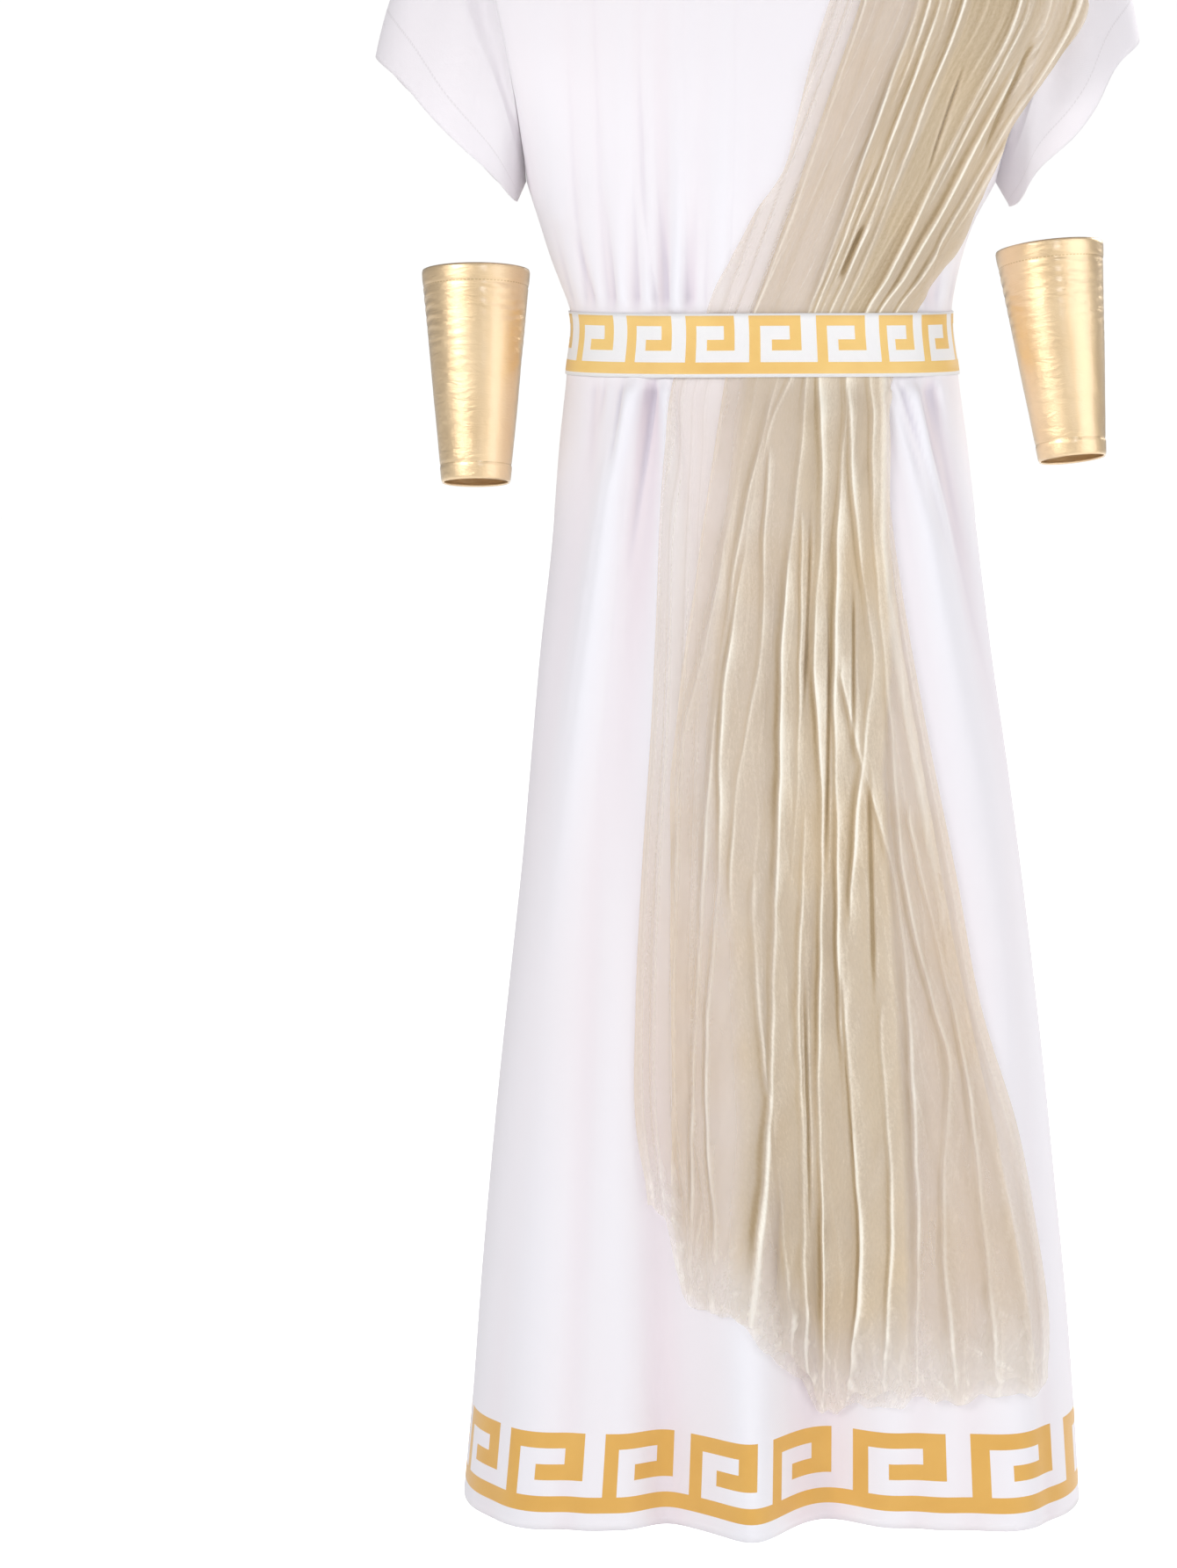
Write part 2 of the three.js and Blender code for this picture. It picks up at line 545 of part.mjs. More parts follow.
function cuff(spec) {
  const top = new THREE.Vector3(spec.topX, CUFF_LEAN / 2, spec.topZ);
  const bottom = new THREE.Vector3(spec.bottomX, -CUFF_LEAN / 2, spec.bottomZ);
  const length = top.distanceTo(bottom);
  const axis = top.clone().sub(bottom).normalize();
  const across = new THREE.Vector3(0, -1, 0).cross(axis).normalize().negate();
  const forward = axis.clone().cross(across).normalize();
  const hem = CUFF_HEM.height / length;
  const rows = [0, hem * 0.95, hem * 1.1, 0.5, 1 - hem * 1.1, 1 - hem * 0.95, 1];
  const grid = rows.map((t) => {
    const banded = t <= hem || t >= 1 - hem ? CUFF_HEM.raised : 0;
    const radius = mix(spec.bottom, spec.top, t) - (banded ? 0 : CUFF_HEM.raised);
    const middle = bottom.clone().lerp(top, t);
    const ring = [];
    for (let i = 0; i < CUFF_AROUND; i += 1) {
      const turn = (2 * Math.PI * i) / CUFF_AROUND;
      ring.push(
        middle
          .clone()
          .addScaledVector(across, radius * Math.cos(turn))
          .addScaledVector(forward, radius * CUFF_FLATNESS * Math.sin(turn)),
      );
    }
    return ring;
  });
  return clothWall(spec.name, GOLD, grid, CUFF_WALL, { closed: true });
}

const costume = new THREE.Group();
costume.name = "greek_god_costume";
costume.add(robePanel("robe_front", -1, FRONT_COLUMNS, 92));
costume.add(robePanel("robe_back", 1, BACK_COLUMNS, 34));
for (const spec of SLEEVES) costume.add(sleeve(spec));
costume.add(belt());
costume.add(drapeUpper());
costume.add(drapeLower());
for (const spec of CUFFS) costume.add(cuff(spec));

export default costume;
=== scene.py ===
import math

import bmesh
import bpy
import numpy as np
from mathutils import Matrix, Vector


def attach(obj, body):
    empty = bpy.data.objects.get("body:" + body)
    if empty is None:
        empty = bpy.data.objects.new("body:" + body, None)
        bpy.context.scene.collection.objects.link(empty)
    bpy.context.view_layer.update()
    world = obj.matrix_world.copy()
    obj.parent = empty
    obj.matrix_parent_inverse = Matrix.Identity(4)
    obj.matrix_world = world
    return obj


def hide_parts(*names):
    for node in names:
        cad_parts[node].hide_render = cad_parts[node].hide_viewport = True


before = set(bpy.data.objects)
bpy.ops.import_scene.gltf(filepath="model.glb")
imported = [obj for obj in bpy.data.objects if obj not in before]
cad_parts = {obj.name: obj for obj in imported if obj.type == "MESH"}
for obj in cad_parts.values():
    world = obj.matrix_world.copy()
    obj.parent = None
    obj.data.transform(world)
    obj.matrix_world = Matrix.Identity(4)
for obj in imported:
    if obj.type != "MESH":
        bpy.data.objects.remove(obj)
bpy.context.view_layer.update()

for spare in ("Cube", "Light", "Camera"):
    if spare in bpy.data.objects:
        bpy.data.objects.remove(bpy.data.objects[spare])

# The robe's two panels are smooth white polyester knit, sewn at the shoulders and sides and
# held in by the belt, so they gather above it and fall in soft folds below it. A Greek key
# band is printed in gold just above the hem. Lengths are in millimetres until a mesh is made.
UNDERARM = -305.0
HEM = -1445.0
BELT_TOP = -414.0
BELT_BOTTOM = -467.0
NECK_HALF = 90.0
SHOULDER_HALF = 228.0
SHOULDER_SLOPE = 0.377
FOLDS_BEGIN = 14.0  # above and below the belt, where the folds are fully open
# level, left side, right side, depth in front, depth behind, squareness
BODY = np.array([
    (-1445, -260, 280, 146, 140, 3.0),
    (-1358, -252, 274, 142, 138, 2.95),
    (-1263, -245, 266, 138, 135, 2.9),
    (-1169, -237, 256, 134, 132, 2.85),
    (-1075, -228, 246, 130, 129, 2.8),
    (-982, -218, 235, 126, 126, 2.7),
    (-889, -208, 223, 121, 123, 2.65),
    (-797, -200, 210, 116, 119, 2.6),
    (-705, -192, 196, 111, 115, 2.55),
    (-614, -182, 184, 106, 110, 2.5),
    (-524, -175, 173, 101, 102, 2.45),
    (-467, -169, 165, 97, 95, 2.4),
    (-414, -166, 159, 97, 94, 2.4),
    (-392, -174, 162, 102, 98, 2.4),
    (-374, -181, 166, 106, 101, 2.4),
    (-337, -193, 178, 113, 105, 2.45),
    (-305, -203, 195, 118, 108, 2.5),
    (-275, -210, 206, 120, 110, 2.5),
    (-237, -219, 217, 120, 110, 2.5),
    (-197, -228, 227, 120, 110, 2.5),
    (-135, -230, 230, 119, 109, 2.5),
    (0, -228, 228, 118, 108, 2.5),
], float)
# level, x, travel, half width at the lower end, then the same at the upper end
FRONT_FOLDS = [
    (-1445, -200, 20, 50, -1000, -196, 7, 30),
    (-1000, -196, 7, 30, -470, -113, 6, 14),
    (-1445, -88, -24, 30, -720, -113, 0, 24),
    (-900, -118, 0, 24, -470, -98, -10, 7),
    (-1445, -10, 36, 30, -660, -32, 0, 30),
    (-1445, 55, -38, 40, -660, 38, 0, 40),
    (-1445, 208, 24, 52, -960, 206, 8, 30),
    (-960, 206, 8, 30, -470, 112, 5, 14),
    (-820, 206, 0, 18, -470, 137, -8, 7),
    (-411, -149, -5, 5, -340, -160, 0, 9),
    (-411, -133, -6, 5, -310, -141, 0, 10),
    (-411, -113, -7, 6, -270, -118, 0, 12),
    (-411, -89, -9, 6, -200, -88, 0, 16),
    (-411, -66, -7, 6, -260, -62, 0, 12),
    (-411, 138, -6, 6, -320, 146, 0, 10),
    # finer folds, too small for the solids
    (-1445, -232, -4, 16, -560, -156, 0, 9),
    (-1445, -168, -4, 15, -560, -134, 0, 7),
    (-560, -150, 0, 6, -470, -146, -3, 5),
    (-600, -128, 0, 6, -470, -124, -3, 5),
    (-760, -76, 0, 12, -470, -84, 3, 6),
    (-1445, -150, 3, 16, -1180, -152, 0, 14),
    (-1445, 128, -6, 18, -860, 142, 0, 12),
    (-1445, 240, -5, 13, -700, 194, 0, 10),
    (-700, 148, 0, 10, -470, 122, 3, 5),
    (-411, -101, 3, 5, -300, -104, 0, 8),
    (-411, -77, 3, 5, -310, -75, 0, 8),
    (-411, 149, 3, 5, -340, 157, 0, 8),
    (-340, -176, 3.5, 12, -130, -198, 0, 16),
    (-411, -120, 2, 6, -150, -126, 0, 12),
    (-411, -40, 4, 8, -150, -34, 0, 20),
    (-411, -78, 4, 6, -130, -70, 0, 18),
    (-1100, -206, 0, 18, -560, -132, 4, 9),
    (-560, -132, 4, 9, -470, -110, 4.5, 5),
    (-1120, -152, 0, 28, -560, -114, -5, 9),
    (-560, -114, -5, 9, -470, -101, -4, 4),
    (-700, -64, 0, 12, -470, -88, 5, 5),
    (-1445, -112, 9, 22, -760, -132, 0, 20),
    (-800, 170, 0, 12, -480, 104, 4, 5),
    (-760, 202, 0, 10, -475, 117, 4, 5),
    (-620, 158, 0, 10, -470, 146, 4, 5),
    (-1445, 176, -7, 22, -900, 176, 0, 18),
    # sharp creases
    (-411, -162, -2.5, 2.5, -320, -186, 0, 4),
    (-411, -154, -2.2, 2.5, -200, -172, 0, 4),
    (-411, -145, -2.0, 2.2, -320, -172, 0, 4),
    (-411, -129, -2.4, 2.2, -270, -142, 0, 4),
    (-411, -110, -1.4, 2.4, -160, -118, 0, 4),
    (-411, -95, -3.4, 2.2, -220, -115, 0, 4),
    (-411, -84, -1.6, 2.4, -240, -101, 0, 4),
    (-411, -54, -1.8, 2.4, -280, -50, 0, 4),
    (-411, -137, -1.3, 3, -110, -152, -0.5, 4),
    (-411, -103, -1.3, 3, -80, -114, -0.5, 4),
    (-411, -70, -1.3, 3, -80, -74, -0.5, 4),
    (-411, -34, -1.1, 3, -100, -26, -0.4, 4),
    (-510, -142, 0, 3, -470, -137, -2.5, 2.4),
    (-560, -131, 0, 4, -470, -121, -2.0, 2.2),
    (-640, -121, 0, 4, -470, -96, -4.2, 2.4),
    (-900, -150, 0, 6, -470, -112, -1.4, 3),
    (-1000, -196, 0, 6, -520, -128, -1.4, 3),
    (-700, 180, 0, 6, -470, 108, -3.0, 2.4),
    (-620, 148, 0, 5, -470, 100, -3.0, 2.4),
    (-800, 210, 0, 6, -470, 124, -2.4, 2.4),
    (-620, 168, 0, 5, -470, 141, -2.0, 2.4),
    (-411, 133, -2.4, 2.4, -330, 140, 0, 4),
    (-411, 144, -2.4, 2.4, -320, 153, 0, 4),
    (-411, 154, -2.0, 2.4, -350, 163, 0, 4),
]
BACK_FOLDS = [
    (-1445, -150, 16, 45, -540, -84, 0, 20),
    (-1445, -62, -20, 38, -490, -40, 0, 18),
    (-1445, 28, 20, 42, -520, 6, 0, 20),
    (-1445, 112, -18, 38, -490, 54, 0, 18),
    (-1445, 190, 16, 42, -560, 98, 0, 20),
    (-411, -104, -4, 10, -310, -110, 0, 14),
    (-411, -38, -4, 10, -290, -40, 0, 14),
    (-411, 34, -4, 10, -300, 36, 0, 14),
    (-411, 98, -4, 10, -310, 104, 0, 14),
    # finer folds, too small for the solids
    (-1445, -206, -4, 16, -490, -124, 0, 8),
    (-1200, -112, 0, 14, -478, -76, 4, 7),
    (-1100, -20, 0, 12, -475, -12, 4, 6),
    (-1150, 70, 0, 13, -478, 36, 4, 7),
    (-1445, 160, -3, 14, -490, 88, 0, 8),
    (-1445, 240, -4, 15, -540, 136, 0, 9),
    (-411, -132, 3, 7, -330, -140, 0, 10),
    (-411, -70, 3, 7, -280, -72, 0, 10),
    (-411, 0, 3, 7, -260, 0, 0, 10),
    (-411, 66, 3, 7, -300, 70, 0, 10),
    (-411, 126, 3, 7, -330, 132, 0, 10),
    # sharp creases
    (-411, -118, -2.4, 2.6, -300, -126, 0, 5),
    (-411, -86, -2.4, 2.6, -250, -92, 0, 5),
    (-411, -22, -2.4, 2.6, -270, -22, 0, 5),
    (-411, 18, -2.4, 2.6, -240, 20, 0, 5),
    (-411, 52, -2.4, 2.6, -280, 54, 0, 5),
    (-411, 112, -2.4, 2.6, -310, 120, 0, 5),
    (-800, -132, 0, 6, -470, -92, -3, 2.6),
    (-900, -58, 0, 6, -470, -50, -3, 2.6),
    (-760, 0, 0, 6, -470, 2, -3, 2.6),
    (-860, 66, 0, 6, -470, 62, -3, 2.6),
    (-780, 128, 0, 6, -470, 100, -3, 2.6),
]


def along(levels, values, at):
    """the value at a level, on a smooth curve through a table that rises by level"""
    levels, values = np.asarray(levels, float), np.asarray(values, float)
    slope = np.gradient(values, levels)
    at = np.clip(at, levels[0], levels[-1])
    k = np.clip(np.searchsorted(levels, at) - 1, 0, len(levels) - 2)
    span = levels[k + 1] - levels[k]
    t = (at - levels[k]) / span
    return (
        (2 * t**3 - 3 * t**2 + 1) * values[k]
        + (t**3 - 2 * t**2 + t) * span * slope[k]
        + (3 * t**2 - 2 * t**3) * values[k + 1]
        + (t**3 - t**2) * span * slope[k + 1]
    )


def ease(low, high, at):
    """0 below low, 1 above high, smooth between"""
    t = np.clip((at - low) / (high - low), 0, 1)
    return t * t * (3 - 2 * t)


def beside_belt(level):
    """distance above or below the belt, 0 behind it"""
    return np.maximum(0, np.maximum(level - BELT_TOP, BELT_BOTTOM - level))


def fold_travel(side, x, level):
    """how far the folds carry the robe's face out, negative in a groove"""
    travel = np.zeros_like(x)
    for z1, x1, out1, half1, z2, x2, out2, half2 in FRONT_FOLDS if side < 0 else BACK_FOLDS:
        t = (level - z1) / (z2 - z1)
        inside = (t >= 0) & (t <= 1)
        t = np.clip(t, 0, 1)
        out = out1 + (out2 - out1) * t**0.8
        travel += inside * out * np.exp(-(((x - x1 - (x2 - x1) * t) / (half1 + (half2 - half1) * t)) ** 2))
    return travel * ease(0, FOLDS_BEGIN, beside_belt(level))


def robe_at(side, x, level):
    """outer face of the robe, side -1 in front and 1 behind

    Above the underarm the level no longer counts down from the seam: it turns over the shoulder.
    """
    levels = BODY[:, 0]
    left, right, front, back, power = (along(levels, BODY[:, k], level) for k in range(1, 6))
    middle, half = (left + right) / 2, (right - left) / 2
    depth = front if side < 0 else back
    across = np.clip((x - middle) / half, -1, 1)
    around = (1 - np.abs(across) ** power) ** (1 / power)
    turn = np.clip((level - UNDERARM) / -UNDERARM, 0, 1) * math.pi / 2
    closing = np.cos(turn) ** 0.8
    rise = np.sin(turn) ** 0.8
    armhole = 0.8 * np.sin(np.clip(rise / 0.45, 0, 1) * math.pi / 2)
    seam_z = -SHOULDER_SLOPE * np.maximum(0, np.abs(x) - NECK_HALF)
    z = np.where(level <= UNDERARM, level, UNDERARM + (seam_z - UNDERARM) * rise)
    y = depth * closing * (armhole + (1 - armhole) * around)
    nx = np.sign(across) * np.abs(across) ** (power - 1) / half
    ny = around ** (power - 1) / depth
    length = np.maximum(np.hypot(nx, ny), 1e-9)
    travel = fold_travel(side, x, level) * (1 - np.abs(across) ** 10) * closing
    return (
        x + nx / length * travel * (1 - armhole),
        side * np.maximum(0.15, y + ny / length * travel),
        z,
    )


def cloth(name, across, down, place, wall=0.0, closed=False):
    """a square grid laid where place(u, v) says in millimetres, with u and v from 0 to 1"""
    bm = bmesh.new()
    bm.loops.layers.uv.new("grid")
    bmesh.ops.create_grid(
        bm, x_segments=across, y_segments=down, size=0.5,
        matrix=Matrix.Translation((0.5, 0.5, 0)), calc_uvs=True,
    )
    mesh = bpy.data.meshes.new(name)
    bm.to_mesh(mesh)
    bm.free()
    flat = np.empty(len(mesh.vertices) * 3)
    mesh.vertices.foreach_get("co", flat)
    u, v = flat[0::3].clip(0, 1), flat[1::3].clip(0, 1)
    laid = np.stack(place(u, v), axis=1) / 1000
    mesh.vertices.foreach_set("co", laid.ravel())
    mesh.polygons.foreach_set("use_smooth", np.ones(len(mesh.polygons), bool))
    piece = bpy.data.objects.new(name, mesh)
    bpy.context.scene.collection.objects.link(piece)
    if closed:
        bm = bmesh.new()
        bm.from_mesh(mesh)
        bmesh.ops.remove_doubles(bm, verts=bm.verts, dist=1e-5)
        bm.to_mesh(mesh)
        bm.free()
    if wall:
        thick = piece.modifiers.new("wall", "SOLIDIFY")
        thick.thickness = wall / 1000
        thick.offset = -1
    return piece


def cloth_map(piece, name, values):
    """a second map on the cloth, from each corner's place on the flat grid"""
    mesh = piece.data
    plain = np.empty(len(mesh.loops) * 2)
    mesh.uv_layers[0].data.foreach_get("uv", plain)
    u, v = plain[0::2], plain[1::2]
    made = mesh.uv_layers.new(name=name)
    made.data.foreach_set("uv", np.stack(values(u, v), axis=1).ravel())


def grid_spots(piece):
    """each vertex's u and v on the flat grid"""
    mesh = piece.data
    plain = np.empty(len(mesh.loops) * 2)
    mesh.uv_layers[0].data.foreach_get("uv", plain)
    corner = np.empty(len(mesh.loops), int)
    mesh.loops.foreach_get("vertex_index", corner)
    spots = np.zeros((len(mesh.vertices), 2))
    spots[corner] = plain.reshape(-1, 2)
    return spots[:, 0], spots[:, 1]


def cloth_value(piece, name, values):
    """a number for each vertex, which the material reads"""
    piece.data.attributes.new(name, "FLOAT", "POINT").data.foreach_set("value", values)


def node(tree, kind, inputs=None, **settings):
    made = tree.nodes.new("ShaderNode" + kind)
    for key, value in settings.items():
        setattr(made, key, value)
    for key, value in (inputs or {}).items():
        if isinstance(value, bpy.types.NodeSocket):
            tree.links.new(value, made.inputs[key])
        else:
            made.inputs[key].default_value = value
    return made


def maths(tree, operation, a, b=0.0, c=0.0):
    return node(tree, "Math", {0: a, 1: b, 2: c}, operation=operation).outputs[0]


def new_group(name, takes, gives):
    tree = bpy.data.node_groups.new(name, "ShaderNodeTree")
    for label, kind, value in takes:
        made = tree.interface.new_socket(name=label, in_out="INPUT", socket_type="NodeSocket" + kind)
        if value is not None:
            made.default_value = value
    for label, kind in gives:
        tree.interface.new_socket(name=label, in_out="OUTPUT", socket_type="NodeSocket" + kind)
    return tree, tree.nodes.new("NodeGroupInput"), tree.nodes.new("NodeGroupOutput")


def use_group(tree, group, inputs):
    return node(tree, "Group", inputs, node_tree=group).outputs[0]


def product(tree, *factors):
    total = factors[0]
    for factor in factors[1:]:
        total = maths(tree, "MULTIPLY", total, factor)
    return total


def blend(tree, factor, a, b):
    """colour a where the factor is 0, colour b where it is 1"""
    return node(tree, "Mix", {"Factor": factor, "A": a, "B": b}, data_type="RGBA").outputs["Result"]


def noise(tree, at, scale, detail, **more):
    return node(tree, "TexNoise", {"Vector": at, "Scale": scale, "Detail": detail, **more}).outputs["Fac"]


def cloth_place(tree, name="cloth"):
    return node(tree, "UVMap", uv_map=name).outputs[0]


def dashes(tree, along_it, pitch):
    """1 on a stitch, 0 in the gap after it"""
    return maths(tree, "GREATER_THAN", maths(tree, "FRACT", maths(tree, "DIVIDE", along_it, pitch)), 0.3)


def raise_surface(tree, shader, strength, distance, height):
    bump = node(tree, "Bump", {"Strength": strength, "Distance": distance, "Height": height})
    tree.links.new(bump.outputs[0], shader.inputs["Normal"])


def new_material(name, **sockets):
    material = bpy.data.materials.new(name)
    material.use_nodes = True
    tree = material.node_tree
    shader = tree.nodes["Principled BSDF"]
    for key, value in sockets.items():
        shader.inputs[key.replace("_", " ")].default_value = value
    return material, tree, shader


# the key: a stem, a bar over the top, a leg down at its far end and a hook turned back
greek_key, given, result = new_group(
    "Greek key",
    [("Unit", "Float", 0.0), ("Height", "Float", 0.0), ("Stem", "Float", 0.15), ("Hook", "Float", 0.33),
     ("Leg", "Float", 0.61), ("End", "Float", 0.8), ("Foot", "Float", 0.2), ("Hook low", "Float", 0.4),
     ("Hook high", "Float", 0.6), ("Top", "Float", 0.8)],
    [("Print", "Float")],
)
g, t = given.outputs, greek_key
place = maths(t, "FRACT", g["Unit"])
short_of_end = maths(t, "LESS_THAN", place, g["End"])
above_hook = maths(t, "GREATER_THAN", g["Height"], g["Hook low"])
foot = maths(t, "LESS_THAN", g["Height"], g["Foot"])
stem = maths(t, "LESS_THAN", place, g["Stem"])
top = product(t, maths(t, "GREATER_THAN", g["Height"], g["Top"]), short_of_end)
leg = product(t, above_hook, short_of_end, maths(t, "GREATER_THAN", place, g["Leg"]))
hook = product(t, above_hook, short_of_end, maths(t, "GREATER_THAN", place, g["Hook"]))
hook = product(t, hook, maths(t, "LESS_THAN", g["Height"], g["Hook high"]))
drawn = foot
for stroke in (stem, top, leg, hook):
    drawn = maths(t, "MAXIMUM", drawn, stroke)
band = product(t, maths(t, "GREATER_THAN", g["Height"], 0.0), maths(t, "LESS_THAN", g["Height"], 1.0))
t.links.new(product(t, drawn, band), result.inputs["Print"])

# the knit: fine ribs across and along, from millimetres on the cloth
knit, given, result = new_group(
    "Fine knit", [("Cloth", "Vector", None), ("Pitch", "Float", 1.1)], [("Height", "Float")]
)
t = knit
parts = node(t, "SeparateXYZ", {0: given.outputs["Cloth"]})
turns = maths(t, "DIVIDE", 6.283, given.outputs["Pitch"])
rib = maths(t, "SINE", product(t, parts.outputs[0], turns))
course = maths(t, "SINE", product(t, parts.outputs[1], turns))
fuzz = noise(t, given.outputs["Cloth"], 0.35, 3.0)
t.links.new(maths(t, "ADD", product(t, rib, course), product(t, fuzz, 1.4)), result.inputs["Height"])

WHITE = (0.86, 0.85, 0.90, 1)
WHITE_WARM = (0.87, 0.81, 0.835, 1)
PRINT_GOLD = (0.70, 0.37, 0.075, 1)
PRINT_LIGHT = (0.80, 0.48, 0.13, 1)
# painted highlight on fold ridges, painted shade in fold hollows and in sharp creases
RIDGE_HIGHLIGHT_BLUE = (0.875, 0.88, 0.935, 1)
HOLLOW_SHADE_ROSE = (0.80, 0.68, 0.725, 1)
CREASE_SHADE_GREY = (0.50, 0.48, 0.59, 1)
KNIT = dict(Roughness=0.62, Sheen_Weight=0.25, Sheen_Roughness=0.4, Specular_IOR_Level=0.3)


def white_tint(tree):
    """the white of the knit, which drifts a little from cool to warm"""
    return blend(tree, noise(tree, node(tree, "TexCoord").outputs["Object"], 3.2, 1.0), WHITE, WHITE_WARM)


def robe_material(name, key_map):
    """white knit, with the printed band where the key map says, a painted highlight on fold ridges and
    painted shade in fold hollows and creases
    """
    material, tree, shader = new_material(name, **KNIT)
    ridge_highlight_hollow_shade = node(tree, "Attribute", attribute_name="ridge_highlight_hollow_shade").outputs["Fac"]
    # the crease attribute paints shade into sharp creases
    sharp = node(tree, "Attribute", attribute_name="crease").outputs["Fac"]
    # painted highlight on ridges and painted shade in hollows, then painted shade in creases
    colour = blend(tree, ridge_highlight_hollow_shade, white_tint(tree), RIDGE_HIGHLIGHT_BLUE)
    colour = blend(tree, product(tree, ridge_highlight_hollow_shade, -1.0), colour, HOLLOW_SHADE_ROSE)
    colour = blend(tree, sharp, colour, CREASE_SHADE_GREY)
    raise_surface(tree, shader, 0.12, 0.0006, use_group(tree, knit, {"Cloth": cloth_place(tree)}))
    where = node(tree, "SeparateXYZ", {0: cloth_place(tree, key_map)})
    printed = use_group(tree, greek_key, {"Unit": where.outputs[0], "Height": where.outputs[1]})
    wear = noise(tree, node(tree, "TexCoord").outputs["Object"], 22.0, 4.0)
    colour = blend(tree, printed, colour, blend(tree, wear, PRINT_GOLD, PRINT_LIGHT))
    tree.links.new(maths(tree, "MULTIPLY_ADD", printed, -0.2, 0.62), shader.inputs["Roughness"])
    tree.links.new(colour, shader.inputs["Base Color"])
    return material


def column_share(u, side):
    """share of the half width for a column, in even steps round the middle of the skirt"""
    half, depth, squareness = 245, 134, 2.8
    fine = -np.cos(np.linspace(0, math.pi, 801))
    y = depth * (1 - np.abs(fine) ** squareness) ** (1 / squareness)
    length = np.concatenate(([0], np.cumsum(np.hypot(np.diff(fine * half), np.diff(y)))))
    share = np.interp(u * length[-1], length, fine)
    return share if side < 0 else -share


def neck_level(x, drop):
    """the level at which a column of the panel meets the neck edge"""
    share = np.minimum(np.abs(x) / NECK_HALF, 1)
    z = -drop * np.sqrt(np.maximum(0, 1 - share**2.2))
    rise = np.clip((z - UNDERARM) / -UNDERARM, 0, 1)
    return np.where(share >= 1, 0, UNDERARM - np.arcsin(rise**1.25) / (math.pi / 2) * UNDERARM)


HEM_ROWS = 0.78  # share of a panel's rows below the underarm
FRONT_NECK_DROP = 92
BACK_NECK_DROP = 34
HEM_STEMS = [-224, -141, -66, 5, 76, 178, 264]
KEYS_BEHIND = 7
KEY_FOOT = 15.0
KEY_HIGH = 68.0


def panel_spot(side, drop, u, v):
    """x and level of a place on a panel"""
    share = column_share(u, side)
    end = neck_level(SHOULDER_HALF * share, drop)
    below = HEM + (UNDERARM - HEM) * np.clip(v / HEM_ROWS, 0, 1)
    level = np.where(v <= HEM_ROWS, below, UNDERARM + (end - UNDERARM) * (v - HEM_ROWS) / (1 - HEM_ROWS))
    left, right = along(BODY[:, 0], BODY[:, 1], level), along(BODY[:, 0], BODY[:, 2], level)
    return (left + right) / 2 + (right - left) / 2 * share, level


def panel(side, drop):
    def place(u, v):
        x, level = panel_spot(side, drop, u, v)
        return robe_at(side, x, level)
    return place


def hem_key(side, u):
    """keys counted round the hem: seven stems stand where the photograph has them"""
    fine = np.linspace(0, 1, 1500)
    x, y, _ = panel(side, FRONT_NECK_DROP)(fine, np.zeros_like(fine))
    length = np.concatenate(([0], np.cumsum(np.hypot(np.diff(x), np.diff(y)))))
    if side > 0:
        return 6.5 + np.interp(u, fine, length) / length[-1] * KEYS_BEHIND
    stems = np.interp(HEM_STEMS, x, length)
    lengths = np.concatenate(([0], stems, [length[-1]]))
    keys = np.concatenate(([-1.5], np.arange(7), [6.5]))
    return np.interp(np.interp(u, fine, length), lengths, keys)


white_robe = robe_material("White knit with printed key", "key")
for part, side, drop, columns, rows, area in (
    ("front", -1, FRONT_NECK_DROP, 236, 200, 0.86),
    ("back", 1, BACK_NECK_DROP, 150, 170, 0.84),
):
    piece = cloth("robe_" + part + "_cloth", columns, rows, panel(side, drop), wall=0.9)
    cloth_map(piece, "cloth", lambda u, v: (u * 640, v * 1450))
    cloth_map(
        piece, "key",
        lambda u, v: (hem_key(side, u), (v / HEM_ROWS * (UNDERARM - HEM) - KEY_FOOT) / KEY_HIGH),
    )
    u, v = grid_spots(piece)
    x, level = panel_spot(side, drop, u, v)
    here = fold_travel(side, x, level)
    # painted highlight on fold ridges and painted shade in their hollows and sharp creases, from how far
    # each place stands out from its neighbours
    near, mid, far = (
        here - (fold_travel(side, x - reach, level) + fold_travel(side, x + reach, level)) / 2
        for reach in (4, 9, 26)
    )
    cloth_value(piece, "ridge_highlight_hollow_shade", np.clip(mid / 14 + far / 34, -0.5, 0.6))
    cloth_value(piece, "crease", np.clip(-near / 6 - 0.05, 0, 0.45))
    piece.data.materials.append(white_robe)
    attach(piece, "root")
    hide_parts("robe_" + part)

# The sleeves are short and wide, of the robe's own knit, set into the armholes. Each is a
# tube from the armhole to a slanting hem, turned up once and stitched 18 mm from its edge.
SLEEVES = {
    "left": dict(side=-1, tip=(-331, -200), corner=(-211, -322), ripple=1.5),
    "right": dict(side=1, tip=(315, -184), corner=(208, -326), ripple=4.0),
}


